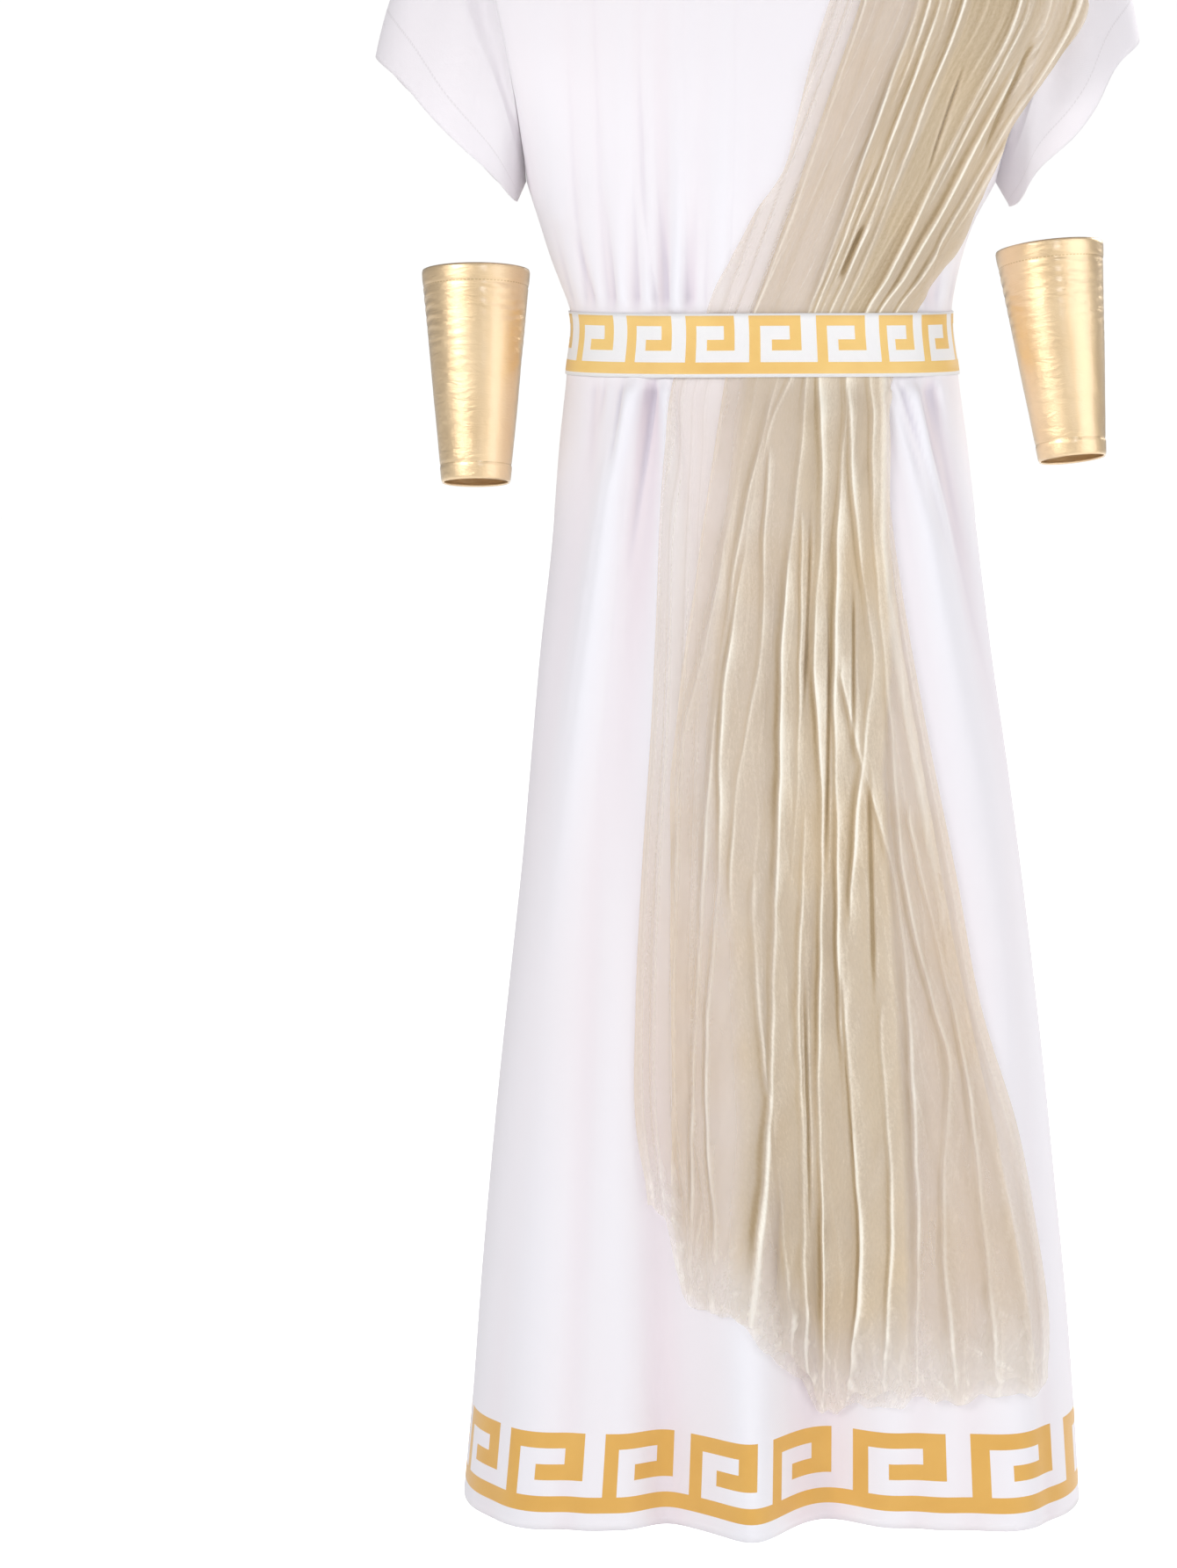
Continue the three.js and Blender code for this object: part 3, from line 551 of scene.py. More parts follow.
def sleeve(side, tip, corner, ripple):
    tip, corner = np.array(tip, float), np.array(corner, float)
    middle, half = (tip + corner) / 2, (tip - corner) / 2
    out = np.array((-half[1], half[0])) * -side
    out /= np.linalg.norm(out)

    def place(u, v):
        turn = 2 * math.pi * (u if side < 0 else 1 - u)
        front = turn < math.pi
        level = UNDERARM - np.where(front, turn, 2 * math.pi - turn) / math.pi * UNDERARM
        edge = along(BODY[:, 0], BODY[:, 1 if side < 0 else 2], level)
        fx, fy, fz = robe_at(-1, edge, level)
        bx, by, bz = robe_at(1, edge, level)
        root = np.stack((edge + side * 0.5, np.where(front, fy, by), np.where(front, fz, bz)), axis=1)
        root[np.abs(root[:, 1]) < 0.3, 1] = 0
        c, s = np.cos(turn), np.sin(turn)
        round_c = -np.sign(c) * np.abs(c) ** 0.85
        wave = ripple * np.sin(turn * 5) * np.abs(s)
        hem = np.stack((
            middle[0] + half[0] * round_c + out[0] * wave,
            -64 * np.sign(s) * np.abs(s) ** 0.85,
            middle[1] + half[1] * round_c + out[1] * wave,
        ), axis=1)
        crown = np.maximum(0, -c) ** 1.4 * 2 * v * (1 - v)
        laid = root + (hem - root) * v[:, None]
        laid[:, 0] += side * 24 * crown
        laid[:, 2] += 58 * crown
        laid[:, 1] *= 1 - 0.12 * np.sin(math.pi * np.minimum(1, v * 2.5)) * np.abs(s)
        drape = np.sin(v * math.pi) ** 0.5 * np.abs(s)
        flutter = 1.6 * np.sin(turn * 7 + v * 3) + 1.2 * np.sin(turn * 3.3 - v * 5)
        laid[:, 1] -= np.sign(s) * drape * flutter
        return laid[:, 0], laid[:, 1], laid[:, 2]
    return place


sleeve_cloth, tree, shader = new_material("White knit with stitched hem", **KNIT)
edge = node(tree, "SeparateXYZ", {0: cloth_place(tree, "hem")})
line = maths(tree, "COMPARE", edge.outputs[1], 18.0, 0.55)
thread = product(tree, line, dashes(tree, edge.outputs[0], 3.2))
weave = use_group(tree, knit, {"Cloth": cloth_place(tree)})
dip = maths(tree, "SUBTRACT", product(tree, weave, 0.12), product(tree, line, 1.6))
raise_surface(tree, shader, 0.6, 0.0006, dip)
shade = blend(tree, product(tree, thread, 0.35), white_tint(tree), (0.62, 0.58, 0.6, 1))
tree.links.new(shade, shader.inputs["Base Color"])

for part, cut in SLEEVES.items():
    piece = cloth("sleeve_" + part + "_cloth", 120, 44, sleeve(**cut), wall=0.9, closed=True)
    cloth_map(piece, "cloth", lambda u, v: (u * 560, v * 120))
    cloth_map(piece, "hem", lambda u, v: (u * 560, (1 - v) * 110))
    piece.data.materials.append(sleeve_cloth)
    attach(piece, "root")
    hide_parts("sleeve_" + part)
    area = 0.057 if part == "left" else 0.052

# The belt is one stiff white woven band, printed with the same key in a brighter gold, and
# closed round the waist. It lies over the drape, so it stands a little further out there.
BELT_STEMS = [-159.0, -118.5, -69.3, -16.5, 40.0, 93.5, 130.5]
BELT_HIGH = BELT_TOP - BELT_BOTTOM
BELT_KEY_FOOT = 2.9
BELT_KEY_HIGH = 48.4
belt_half = column_share(np.linspace(0, 1, 400), -1)


def over_drape(x):
    return ease(-113, -87, x) * (1 - ease(121, 146, x))


def belt_ring(u, v):
    front = u < 0.5
    share = np.interp(np.where(front, u, u - 0.5) * 2, np.linspace(0, 1, len(belt_half)), belt_half)
    share = np.where(front, share, -share)
    level = BELT_BOTTOM + (BELT_TOP - BELT_BOTTOM) * v
    left, right = along(BODY[:, 0], BODY[:, 1], level), along(BODY[:, 0], BODY[:, 2], level)
    x = (left + right) / 2 + (right - left) / 2 * share
    depth = np.where(front, along(BODY[:, 0], BODY[:, 3], level), along(BODY[:, 0], BODY[:, 4], level))
    around = (1 - np.abs(share) ** 2.4) ** (1 / 2.4)
    side = np.where(front, -1, 1)
    nx = np.sign(share) * np.abs(share) ** 1.4 / ((right - left) / 2)
    ny = side * around**1.4 / depth
    length = np.hypot(nx, ny)
    lift = 1.7 + np.where(front, over_drape(x) * 2.3, 0)
    lift += 0.35 * np.sin(x / 17) * np.sin(x / 41 + 2) * (1 - 0.6 * v)
    sway = 0.5 * np.sin(x / 60 + 1)
    return x + nx / length * lift, side * depth * around + ny / length * lift, level + sway


def belt_key(u):
    fine = np.linspace(0, 0.5, 1200)
    x, y, _ = belt_ring(fine, np.full_like(fine, 0.5))
    length = np.concatenate(([0], np.cumsum(np.hypot(np.diff(x), np.diff(y)))))
    stems = np.interp(BELT_STEMS, x, length)
    lengths = np.concatenate(([0], stems, [length[-1]]))
    keys = np.concatenate(([-0.6], np.arange(7), [7.6]))
    front = np.interp(np.interp(u, fine, length), lengths, keys)
    return np.where(u <= 0.5, front, 7.6 + (u - 0.5) * 2 * 6.8)


belt = cloth("belt_band", 420, 10, belt_ring, wall=1.3, closed=True)
cloth_map(belt, "cloth", lambda u, v: (u * 860, v * BELT_HIGH))
cloth_map(belt, "key", lambda u, v: (belt_key(u), (v * BELT_HIGH - BELT_KEY_FOOT) / BELT_KEY_HIGH))
belt_cloth, tree, shader = new_material(
    "White woven band with printed key", Roughness=0.5, Sheen_Weight=0.15, Sheen_Roughness=0.4,
    Specular_IOR_Level=0.4
)
where = node(tree, "SeparateXYZ", {0: cloth_place(tree, "key")})
printed = use_group(tree, greek_key, {
    "Unit": where.outputs[0], "Height": where.outputs[1], "Stem": 0.165, "Hook": 0.333, "Leg": 0.6,
    "End": 0.77, "Foot": 0.2, "Hook low": 0.4, "Hook high": 0.587, "Top": 0.822,
})
wear = noise(tree, node(tree, "TexCoord").outputs["Object"], 16.0, 3.0)
gold = blend(tree, wear, (0.80, 0.46, 0.11, 1), (0.95, 0.70, 0.27, 1))
tree.links.new(blend(tree, printed, (0.87, 0.86, 0.865, 1), gold), shader.inputs["Base Color"])
tree.links.new(maths(tree, "MULTIPLY_ADD", printed, -0.16, 0.52), shader.inputs["Roughness"])
weave = use_group(tree, knit, {"Cloth": cloth_place(tree), "Pitch": 1.4})
raise_surface(tree, shader, 0.25, 0.0006, weave)
belt.data.materials.append(belt_cloth)
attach(belt, "root")
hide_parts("belt")

# The drape is one length of crinkled, see-through champagne voile. It is gathered into the
# left shoulder seam, crosses the chest, passes behind the belt and hangs to its crumpled edge.
# Its one length is folded over, so an inner layer shows at the sides of an outer, pleated one.
UPPER_EDGES = np.array([
    (-412, -52, 124), (-386, -42, 140), (-351, -24, 163), (-325, -10, 172), (-300, 8, 181), (-257, 20, 198),
    (-200, 34, 232), (-157, 48, 256), (-100, 66, 246), (-50, 82, 226), (0, 94, 212),
], float)
LOWER_EDGES = np.array([
    (-1348, -102, 233), (-1261, -102, 235), (-1173, -102, 221), (-1101, -112, 206), (-996, -112, 179),
    (-884, -106, 158), (-773, -98, 135), (-655, -92, 113), (-589, -89, 103), (-531, -84, 98),
    (-465, -78, 105), (-440, -66, 114),
], float)
LOWER_HEM = np.array([
    (0, -1168), (0.06, -1179), (0.1, -1238), (0.14, -1250), (0.25, -1262), (0.32, -1297), (0.44, -1345),
    (0.5, -1348), (0.585, -1338), (0.72, -1333), (0.87, -1331), (1, -1323),
], float)
# level, then x where the outer layer starts, where it lies double, where that ends, and its far edge
LOWER_LAYERS = np.array([
    (-1345, -78, -34, 122, 224), (-1250, -78, -30, 120, 212), (-1100, -78, -22, 116, 190),
    (-950, -80, -28, 106, 158), (-800, -80, -48, 96, 130), (-700, -70, -46, 102, 112),
    (-600, -56, -36, 96, 100), (-465, -36, -20, 96, 102),
], float)
# each pleat of the outer layer: travel, half width, then level and x down its length
LOWER_PLEATS = [
    (4, 5, [(-465, -8), (-524, -20), (-592, -34), (-701, -54), (-774, -70), (-900, -76)]),
    (6, 4, [(-466, 8), (-530, -8), (-600, -24), (-700, -38), (-830, -48), (-980, -56), (-1180, -60)]),
    (7, 4, [(-467, 18), (-497, 5), (-529, -4), (-584, -15), (-636, -24), (-720, -36), (-860, -38),
            (-1000, -46), (-1210, -38)]),
    (5, 3, [(-535, 1), (-610, -3), (-668, -4), (-805, -26), (-900, -30)]),
    (9, 4, [(-467, 31), (-584, 21), (-695, 11), (-829, 6), (-929, 3), (-1063, -3), (-1213, -12),
            (-1275, -16)]),
    (9, 4, [(-467, 42), (-600, 43), (-695, 39), (-810, 45), (-949, 46), (-1063, 43), (-1213, 49),
            (-1340, 48)]),
    (10, 4, [(-467, 66), (-600, 56), (-695, 56), (-790, 58), (-949, 63), (-1100, 75), (-1213, 86),
             (-1340, 77)]),
    (8, 4, [(-480, 67), (-513, 67), (-616, 75), (-671, 83), (-691, 87), (-750, 84), (-833, 76), (-929, 70)]),
    (7, 4, [(-715, 60), (-790, 80), (-875, 104), (-929, 112), (-988, 117), (-1063, 122), (-1162, 126),
            (-1320, 128)]),
    (6, 4, [(-466, 84), (-600, 88), (-760, 102), (-929, 122), (-999, 140), (-1025, 149), (-1137, 151),
            (-1213, 151), (-1320, 160)]),
    (5, 4, [(-840, 118), (-1000, 156), (-1150, 180), (-1320, 192)]),
    (5, 3, [(-900, -14), (-1050, -6), (-1200, 12), (-1330, 18)]),
    (5, 3, [(-850, 30), (-1000, 24), (-1150, 28), (-1340, 30)]),
    (5, 3, [(-1010, 98), (-1150, 106), (-1330, 104)]),
    (5, 3, [(-590, 28), (-700, 26), (-820, 24), (-900, 16)]),
    (3, 3, [(-1080, -62), (-1140, -50), (-1210, -54), (-1245, -44)]),
]
# x at the shoulder seam, 157 mm down and at the belt, travel, half width: the pleats run straight
UPPER_PLEATS = [
    (97, 57, -38, 2.0, 3.0), (102, 66, -26, 2.0, 2.6), (110, 79, -12, 3.5, 2.6), (120, 96, 8, 0.8, 4.0),
    (127, 108, 20, 1.0, 4.0), (134, 120, 32, 6.0, 2.6), (139, 129, 38, 4.6, 2.0), (144, 138, 44, 6.0, 2.2),
    (149, 147, 51, 4.0, 2.0), (155, 158, 60, 6.0, 2.4), (163, 174, 69, 0.8, 4.0), (173, 190, 76, 0.8, 4.0),
    (180, 203, 81, 7.0, 2.6), (185, 211, 86, 4.2, 2.0), (193, 226, 93, 7.0, 3.0), (198, 235, 99, 3.0, 2.0),
    (205, 248, 106, 5.5, 2.6), (211, 258, 115, 4.0, 2.2),
]
# slits between pleats and broad bands where the cloth lies double, both darkened with painted shade:
# x and level at each end, half width and darkness of the painted shade
LOWER_SLITS = [
    (84, -770, 92, -1010, 2.4, 0.9), (52, -650, 50, -900, 2.0, 0.8), (70, -620, 72, -800, 2.0, 0.8),
    (36, -560, 30, -760, 1.8, 0.6), (61, -930, 80, -1180, 2.2, 0.7), (30, -960, 36, -1200, 2.0, 0.6),
]
LOWER_BANDS = [
    (34, -440, 30, -720, 9, 0.30), (80, -440, 78, -780, 10, 0.32), (80, -740, 96, -1180, 8, 0.26),
    (50, -860, 62, -1280, 8, 0.22), (18, -800, 24, -1180, 8, 0.16),
]
UPPER_SLITS = [
    (218, -168, 172, -286, 2.6, 1.3), (78, -335, 56, -388, 2.6, 1.3), (160, -200, 128, -300, 1.6, 0.7),
]
SLIT_DEPTH = 3.0
HANGING_WIDE = 240.0  # millimetres across the hanging part, which its fine creases count in
LOWER_TOP = -440.6  # the drape's two stretches meet here, behind the belt
UPPER_BOTTOM = -440.3
UPPER_HIGH = 432.0
SEAM_LOW, SEAM_HIGH = -30, -10  # the levels between which the shoulder seam draws the cloth flat


def streak(x, down, x1, z1, x2, z2, width, fade_in, fade_out):
    """1 on a line between two places, fading to its sides and its ends"""
    share = np.clip((down - z1) / (z2 - z1), -0.2, 1.2)
    ends = ease(0, fade_in, share) * (1 - ease(fade_out, 1, share))
    return ends * np.exp(-(((x - x1 - (x2 - x1) * share) / width) ** 2))


def layer_edge(column, level):
    return np.interp(level, LOWER_LAYERS[:, 0], LOWER_LAYERS[:, column])


def flat_at_seam(level):
    return 1 - 0.6 * ease(SEAM_LOW, SEAM_HIGH, level)


def phase(chance):
    """anywhere in a wave"""
    return chance.uniform(0, 6.3)


def crease(across, down, seed, size, sway, count=5):
    """fine sharp creases that run down the cloth and wander, from 0 to about 1"""
    chance = np.random.default_rng(seed)
    total = np.zeros_like(across)
    for _ in range(count):
        pitch = size * chance.uniform(0.6, 1.8)
        drift = sway * np.sin(down / chance.uniform(50, 170) + phase(chance))
        drift += sway * 0.4 * np.sin(down / chance.uniform(14, 38) + phase(chance))
        fade = down / chance.uniform(30, 120) + across / chance.uniform(20, 60) + phase(chance)
        fade = 0.5 + 0.5 * np.sin(fade)
        wave = (across + drift) / pitch * math.pi + phase(chance)
        total += fade * (1 - np.abs(np.sin(wave))) ** 2.2
    return total / count * 2


def crumple(across, down, seed, size, count=8):
    """soft dents in every direction, from about -1 to 1"""
    chance = np.random.default_rng(seed)
    total = np.zeros_like(across)
    for _ in range(count):
        turn, pitch = chance.uniform(0, math.pi), size * chance.uniform(0.5, 1.5)
        wave = (across * math.cos(turn) + down * math.sin(turn)) / pitch * 2 * math.pi
        wave += phase(chance)
        total += np.sin(wave + 1.5 * np.sin(wave * 0.37 + phase(chance)))
    return total / count * 1.6


def pleat(d, half):
    """a crisp pleat: steep on its near side, falling away gently on its far side"""
    return np.exp(-(np.sqrt(d**2 + 0.8) - 0.9) / np.where(d < 0, half * 0.8, half * 2.8))


def pleat_shadow(d, half):
    """the painted shadow line where a crisp pleat stands over the cloth on its near side"""
    return np.exp(-(((d + half * 0.9) / (half * 0.5 + 0.6)) ** 2))


def pleat_shine(d, half):
    """the painted highlight on a crisp pleat: sharp on its near side, fading over its far side"""
    return ease(-1.2, 0.6, d) * np.exp(-np.maximum(d - 0.8, 0) / (half * 0.95))


def crush(across, down, seed, size, count=6):
    """sharp little ridges in every direction, as in crushed voile, from 0 to about 1"""
    chance = np.random.default_rng(seed)
    total = np.zeros_like(across)
    for _ in range(count):
        turn, pitch = chance.uniform(0, math.pi), size * chance.uniform(0.6, 1.6)
        wave = (across * math.cos(turn) + down * math.sin(turn)) / pitch * math.pi
        beside = (across * math.sin(turn) - down * math.cos(turn)) / pitch * 1.1
        wave += 1.3 * np.sin(beside + phase(chance))
        total += (1 - np.abs(np.sin(wave + phase(chance)))) ** 1.8
    return total / count * 2


def on_robe(x, level, lift):
    """a point over the robe's front, lifted square to it

    Past the armhole the cloth hangs on in front of the sleeve.
    """
    right = along(BODY[:, 0], BODY[:, 2], level)
    inside = np.minimum(x, right - 2)
    here = np.stack(robe_at(-1, inside, level), axis=1)
    reach = 2
    across = np.subtract(robe_at(-1, inside + reach, level), robe_at(-1, inside - reach, level)).T
    higher = np.minimum(level + reach, -0.01)
    up = np.subtract(robe_at(-1, inside, higher), robe_at(-1, inside, level - reach)).T
    normal = np.cross(across, up)
    normal /= np.linalg.norm(normal, axis=1)[:, None]
    laid = here + normal * lift[:, None]
    past = np.maximum(0, x - inside)
    laid[:, 0] += past
    laid[:, 1] += 0.1 * past - 3 * ease(0, 20, x - right + 12)
    beyond = robe_at(-1, x, level)[2] + 4.4
    laid[:, 2] = np.where(past > 0, np.minimum(laid[:, 2], beyond), laid[:, 2])
    return laid[:, 0], laid[:, 1], laid[:, 2]


def lower_spot(u, v, outer):
    """x and level of a place on the hanging part, and the level of its lower edge there"""
    share = u
    for _ in range(3 if outer else 1):
        bottom = np.interp(share, LOWER_HEM[:, 0], LOWER_HEM[:, 1])
        bottom += 3.5 * np.sin(share * 38) + 2.0 * np.sin(share * 83 + 1) + 0.8 * np.sin(share * 151)
        if outer:
            bottom += 7 + 6 * np.sin(share * 23) + 3 * np.sin(share * 90 + 2)
        level = LOWER_TOP + (bottom - LOWER_TOP) * (1 - v)
        left, right = (along(LOWER_EDGES[:, 0], LOWER_EDGES[:, k], level) for k in (1, 2))
        if outer:
            near, far = layer_edge(1, level), layer_edge(4, level)
            x = near + (far - near) * u
            share = (x - left) / (right - left)
        else:
            x = left + (right - left) * u
    return x, level, bottom


def lower_inner(u, v):
    x, level, bottom = lower_spot(u, v, False)
    free = ease(3, 34, beside_belt(level))
    width = u * HANGING_WIDE
    near_hem = 1 - ease(0, 100, level - bottom)
    height = 2.2 * crease(width, level, 51, 60, 8, 3) * ease(4, 16, np.minimum(width, HANGING_WIDE - width))
    shadow = np.zeros_like(x)
    for share, out in (
        (0.02, 3), (0.06, 3.5), (0.12, 3), (0.17, 2.5), (0.80, 2), (0.88, 3.5), (0.94, 3), (0.98, 3)
    ):
        d = (u - share) * HANGING_WIDE
        height = np.maximum(height, out * pleat(d, 4.5))
        fade = 0.6 + 0.4 * np.sin(level / 70 + share * 40)
        shadow = np.maximum(shadow, 0.16 * pleat_shadow(d, 6) * fade)
    height += near_hem * (4.2 * crush(x, level, 53, 52) + 0.9 * crush(x, level, 54, 19))
    return on_robe(x, level, 1.2 + 0.4 * (1 - free) + free * (1.0 + height)), height, shadow


def lower_outer(u, v):
    x, level, bottom = lower_spot(u, v, True)
    free = ease(3, 34, beside_belt(level))
    near_hem = 1 - ease(0, 105, level - bottom)
    height, shadow, shine = np.zeros_like(x), np.zeros_like(x), np.zeros_like(x)
    for k, (out, half, path) in enumerate(LOWER_PLEATS):
        path = np.array(path[::-1], float)
        strength = ease(0, 70, level - path[0, 0] + 35) * ease(0, 30, path[-1, 0] - level + 30)
        strength *= 0.72 + 0.28 * np.sin(level / (38 + 7 * (k % 5)) + 1.7 * k)
        d = x - along(path[:, 0], path[:, 1], level)
        d += 0.8 * np.sin(level / 43 + k) + 0.35 * np.sin(level / 11 + 2 * k)
        height = np.maximum(height, strength * out * pleat(d, half))
        shadow = np.maximum(shadow, strength * out / 12 * pleat_shadow(d, half) * (1 - 0.7 * near_hem))
        # the painted highlight's strength varies along the pleat
        shine_unevenness = 0.75 + 0.25 * np.sin(level / 37 + 2.3 * k) * np.sin(level / 13 + k)
        broad = half * (0.7 + 1.3 * np.sin(level / 85 + 1.3 * k) ** 2)
        shine = np.maximum(shine, strength * out / 8 * shine_unevenness * pleat_shine(d, broad))
    # the far edge has a painted highlight, all painted highlights are weaker low down, and painted shade
    # darkens the cloth away from its far edge just below the belt and, more faintly, low down
    from_far = (1 - u) * (layer_edge(4, level) - layer_edge(1, level))
    far_edge_highlight = np.exp(-(((from_far - 5) / 4.5) ** 2)) * ease(-1000, -860, level)
    shine = np.maximum(shine, 0.7 * far_edge_highlight)
    shine *= 0.5 + 0.5 * ease(-940, -800, level)
    shade_near_belt_and_low = 0.26 * ease(-600, -470, level) + 0.06 * (1 - ease(-1200, -900, level)) * (1 - near_hem)
    shadow = np.maximum(shadow, shade_near_belt_and_low * ease(0, 10, from_far - 60))
    height = height * (1 - 0.35 * near_hem)
    # the slits are sunk and darkened with painted shade; the bands are only darkened with painted shade
    for *line, dark in LOWER_SLITS:
        slit = streak(x, level, *line, 0.3, 0.7)
        height -= SLIT_DEPTH * slit
        shadow = np.maximum(shadow, dark * slit)
    for *line, dark in LOWER_BANDS:
        shadow = np.maximum(shadow, dark * streak(x, level, *line, 0.2, 0.75))
    width = u * HANGING_WIDE
    height += 4.2 * crease(width, level, 5, 50, 7, 4) + 0.6 * crease(width, level, 6, 19, 6, 4)
    height += crumple(x, level, 9, 34)
    height += near_hem * (5.0 * crush(x, level, 7, 52) + 1.0 * crush(x, level, 8, 19))
    return on_robe(x, level, 2.0 + 0.4 * (1 - free) + free * (2.0 + height)), height, shadow - shine


def lower_cover(u, v, outer):
    """how much the cloth hides here, from 0 to 1, and how crumpled and glossy it is, which also sets where a
    pale sheen is painted
    """
    x, level, bottom = lower_spot(u, v, outer)
    near_hem = 1 - ease(10, 85, level - bottom)
    if not outer:
        edge = (1 - ease(0, 0.03, u)) + ease(0.97, 1, u)
        lower = 1 - ease(-760, -500, level)
        cover = 0.19 + 0.09 * lower + 0.10 * lower * ease(0.7, 0.8, u) + 0.14 * edge
        return cover + 0.03 * crumple(x, level / 4, 21, 30), near_hem
    middle = np.array(LOWER_PLEATS[4][2][::-1], float)
    fold = along(middle[:, 0], middle[:, 1], level)
    near, far = layer_edge(2, level), layer_edge(3, level)
    medium = ease(-6, 6, x - near) * (1 - ease(-2, 2, x - fold))
    thick = ease(-2, 2, x - fold) * (1 - ease(-3, 3, x - far))
    gap = ease(-2, 2, x - fold) * (1 - ease(14, 22, x - fold))
    gap *= (1 - ease(-1210, -1120, level)) * ease(-1310, -1270, level)
    edge = (1 - ease(0, 0.025, u)) + ease(0.975, 1, u)
    right_sheer = ease(-3, 3, x - far) * (1 - ease(-1000, -800, level))
    layers = 0.34 * medium + 0.50 * thick + 0.10 * right_sheer - 0.5 * gap
    cover = 0.25 + layers * (1 - 0.75 * near_hem) + 0.15 * edge - 0.08 * near_hem
    return np.clip(cover + 0.05 * crumple(x, level / 4, 22, 26), 0.06, 0.95), near_hem


def straight(shoulder, high, low, z):
    """x down a pleat that runs straight from the belt and draws in towards the shoulder seam"""
    belt, run, draw = -412, 255, 190
    steep = (high - low) / run
    line = low + steep * (z - belt)
    return line + (shoulder - low + steep * belt) * (np.maximum(0, z + draw) / draw) ** 2


def upper_spot(u, v, outer):
    """x, level and z of a place on the chest, and millimetres across the run of the pleats"""
    level = UPPER_BOTTOM + UPPER_HIGH * v
    z = robe_at(-1, 40 + 140 * u, level)[2]
    left, right = (along(UPPER_EDGES[:, 0], UPPER_EDGES[:, k], z) for k in (1, 2))
    if outer:
        left = np.maximum(left, straight(108, 74, -14, z))
    x = left + (right - left) * u
    near, far = straight(94, 48, -52, z), straight(212, 260, 116, z)
    return x, level, z, (x - near) / (far - near) * 190


def upper_layers(x, z):
    """where the drape lies double on the chest, and its broad shaded panel, each from 0 to 1"""
    double = ease(-2, 3, x - straight(134, 120, 32, z))
    shaded = ease(-1, 3, x - straight(158, 164, 64, z)) * (1 - ease(-3, 1, x - straight(180, 203, 81, z)))
    return double, shaded


def upper_inner(u, v):
    x, level, z, run = upper_spot(u, v, False)
    free = ease(3, 34, beside_belt(level)) * (1 - 0.9 * ease(SEAM_LOW, SEAM_HIGH, level))
    height, shadow = np.zeros_like(u), np.zeros_like(u)
    for shoulder, high, low, out, half in UPPER_PLEATS[:4]:
        d = x - straight(shoulder, high, low, z) - 0.8 * np.sin(z / 41 + low)
        height = np.maximum(height, out * pleat(d, half))
        shadow = np.maximum(shadow, 0.3 * pleat_shadow(d, half))
    height += 1.8 * crease(run, z, 61, 28, 4, 4) * ease(0, 0.08, u)
    height += 4.0 * np.exp(-(((z + 222) / 12) ** 2)) * np.exp(-((u / 0.05) ** 2))
    lift = 1.2 + 0.4 * (1 - free) + free * (1.0 + height)
    return on_robe(x, level, lift * flat_at_seam(level)), height, shadow


def upper_outer(u, v):
    x, level, z, run = upper_spot(u, v, True)
    free = ease(3, 34, beside_belt(level)) * (1 - 0.9 * ease(SEAM_LOW, SEAM_HIGH, level))
    height, shadow, shine = np.zeros_like(u), np.zeros_like(u), np.zeros_like(u)
    for k, (shoulder, high, low, out, half) in enumerate(UPPER_PLEATS):
        d = x - straight(shoulder, high, low, z) - 0.8 * np.sin(z / 47 + k) - 0.3 * np.sin(z / 12 + 2 * k)
        strength = 0.72 + 0.28 * np.sin(z / (33 + 6 * (k % 5)) + 1.9 * k)
        height = np.maximum(height, strength * out * pleat(d, half))
        shadow = np.maximum(shadow, strength * out / 9 * pleat_shadow(d, half))
        # the painted highlight's strength varies along the pleat
        shine_unevenness = 0.75 + 0.25 * np.sin(z / 37 + 2.3 * k) * np.sin(z / 13 + k)
        broad = half * (0.5 + 0.7 * np.sin(z / 75 + 1.3 * k) ** 2)
        shine = np.maximum(shine, strength * out / 9 * shine_unevenness * pleat_shine(d, broad))
    # the slits are sunk and darkened with painted shade
    for *line, dark in UPPER_SLITS:
        slit = streak(x, z, *line, 0.25, 0.75)
        height -= SLIT_DEPTH * slit
        shadow = np.maximum(shadow, dark * slit)
    double, shaded = upper_layers(x, z)
    shadow = np.maximum(shadow, 0.1 + 0.14 * double + 0.3 * shaded) - shine
    height += 2.4 * crease(run, z, 31, 26, 4, 4) + 0.5 * crease(run, z, 32, 10, 3, 4)
    lift = 2.0 + 0.4 * (1 - free) + free * (2.0 + height)
    return on_robe(x, level, lift * flat_at_seam(level)), height, shadow


def upper_cover(u, v, outer):
    """how much the cloth hides on the chest, where nothing is crumpled"""
    x, level, z, run = upper_spot(u, v, outer)
    if not outer:
        cover = 0.24 + 0.12 * (1 - ease(0, 0.03, u))
        return cover + 0.03 * crumple(run, z / 4, 42, 24), 0 * u
    double, shaded = upper_layers(x, z)
    cover = 0.42 + 0.30 * double + 0.2 * shaded
    return np.clip(cover + 0.04 * crumple(run, z / 4, 43, 22), 0.08, 0.95), 0 * u


voile, tree, shader = new_material(
    "Crinkled champagne voile", Sheen_Weight=0.25, Sheen_Roughness=0.35, Specular_IOR_Level=0.5
)
spot = node(tree, "TexCoord").outputs["Object"]
cover, crest_highlight_and_shade, gloss_and_sheen = (
    node(tree, "Attribute", attribute_name=name).outputs["Fac"] for name in ("cover", "crest_highlight_and_shade", "gloss_and_sheen")
)
lie = cloth_place(tree)
stretched = node(tree, "VectorMath", {0: lie, 1: (1, 0.35, 1)}, operation="MULTIPLY").outputs[0]
threads = noise(tree, stretched, 0.5, 5.0, Roughness=0.7)
crepe = noise(tree, lie, 0.42, 4.0, Roughness=0.6)
uneven = maths(tree, "SUBTRACT", threads, 0.5)
grain = maths(tree, "ADD", uneven, maths(tree, "SUBTRACT", crepe, 0.5))
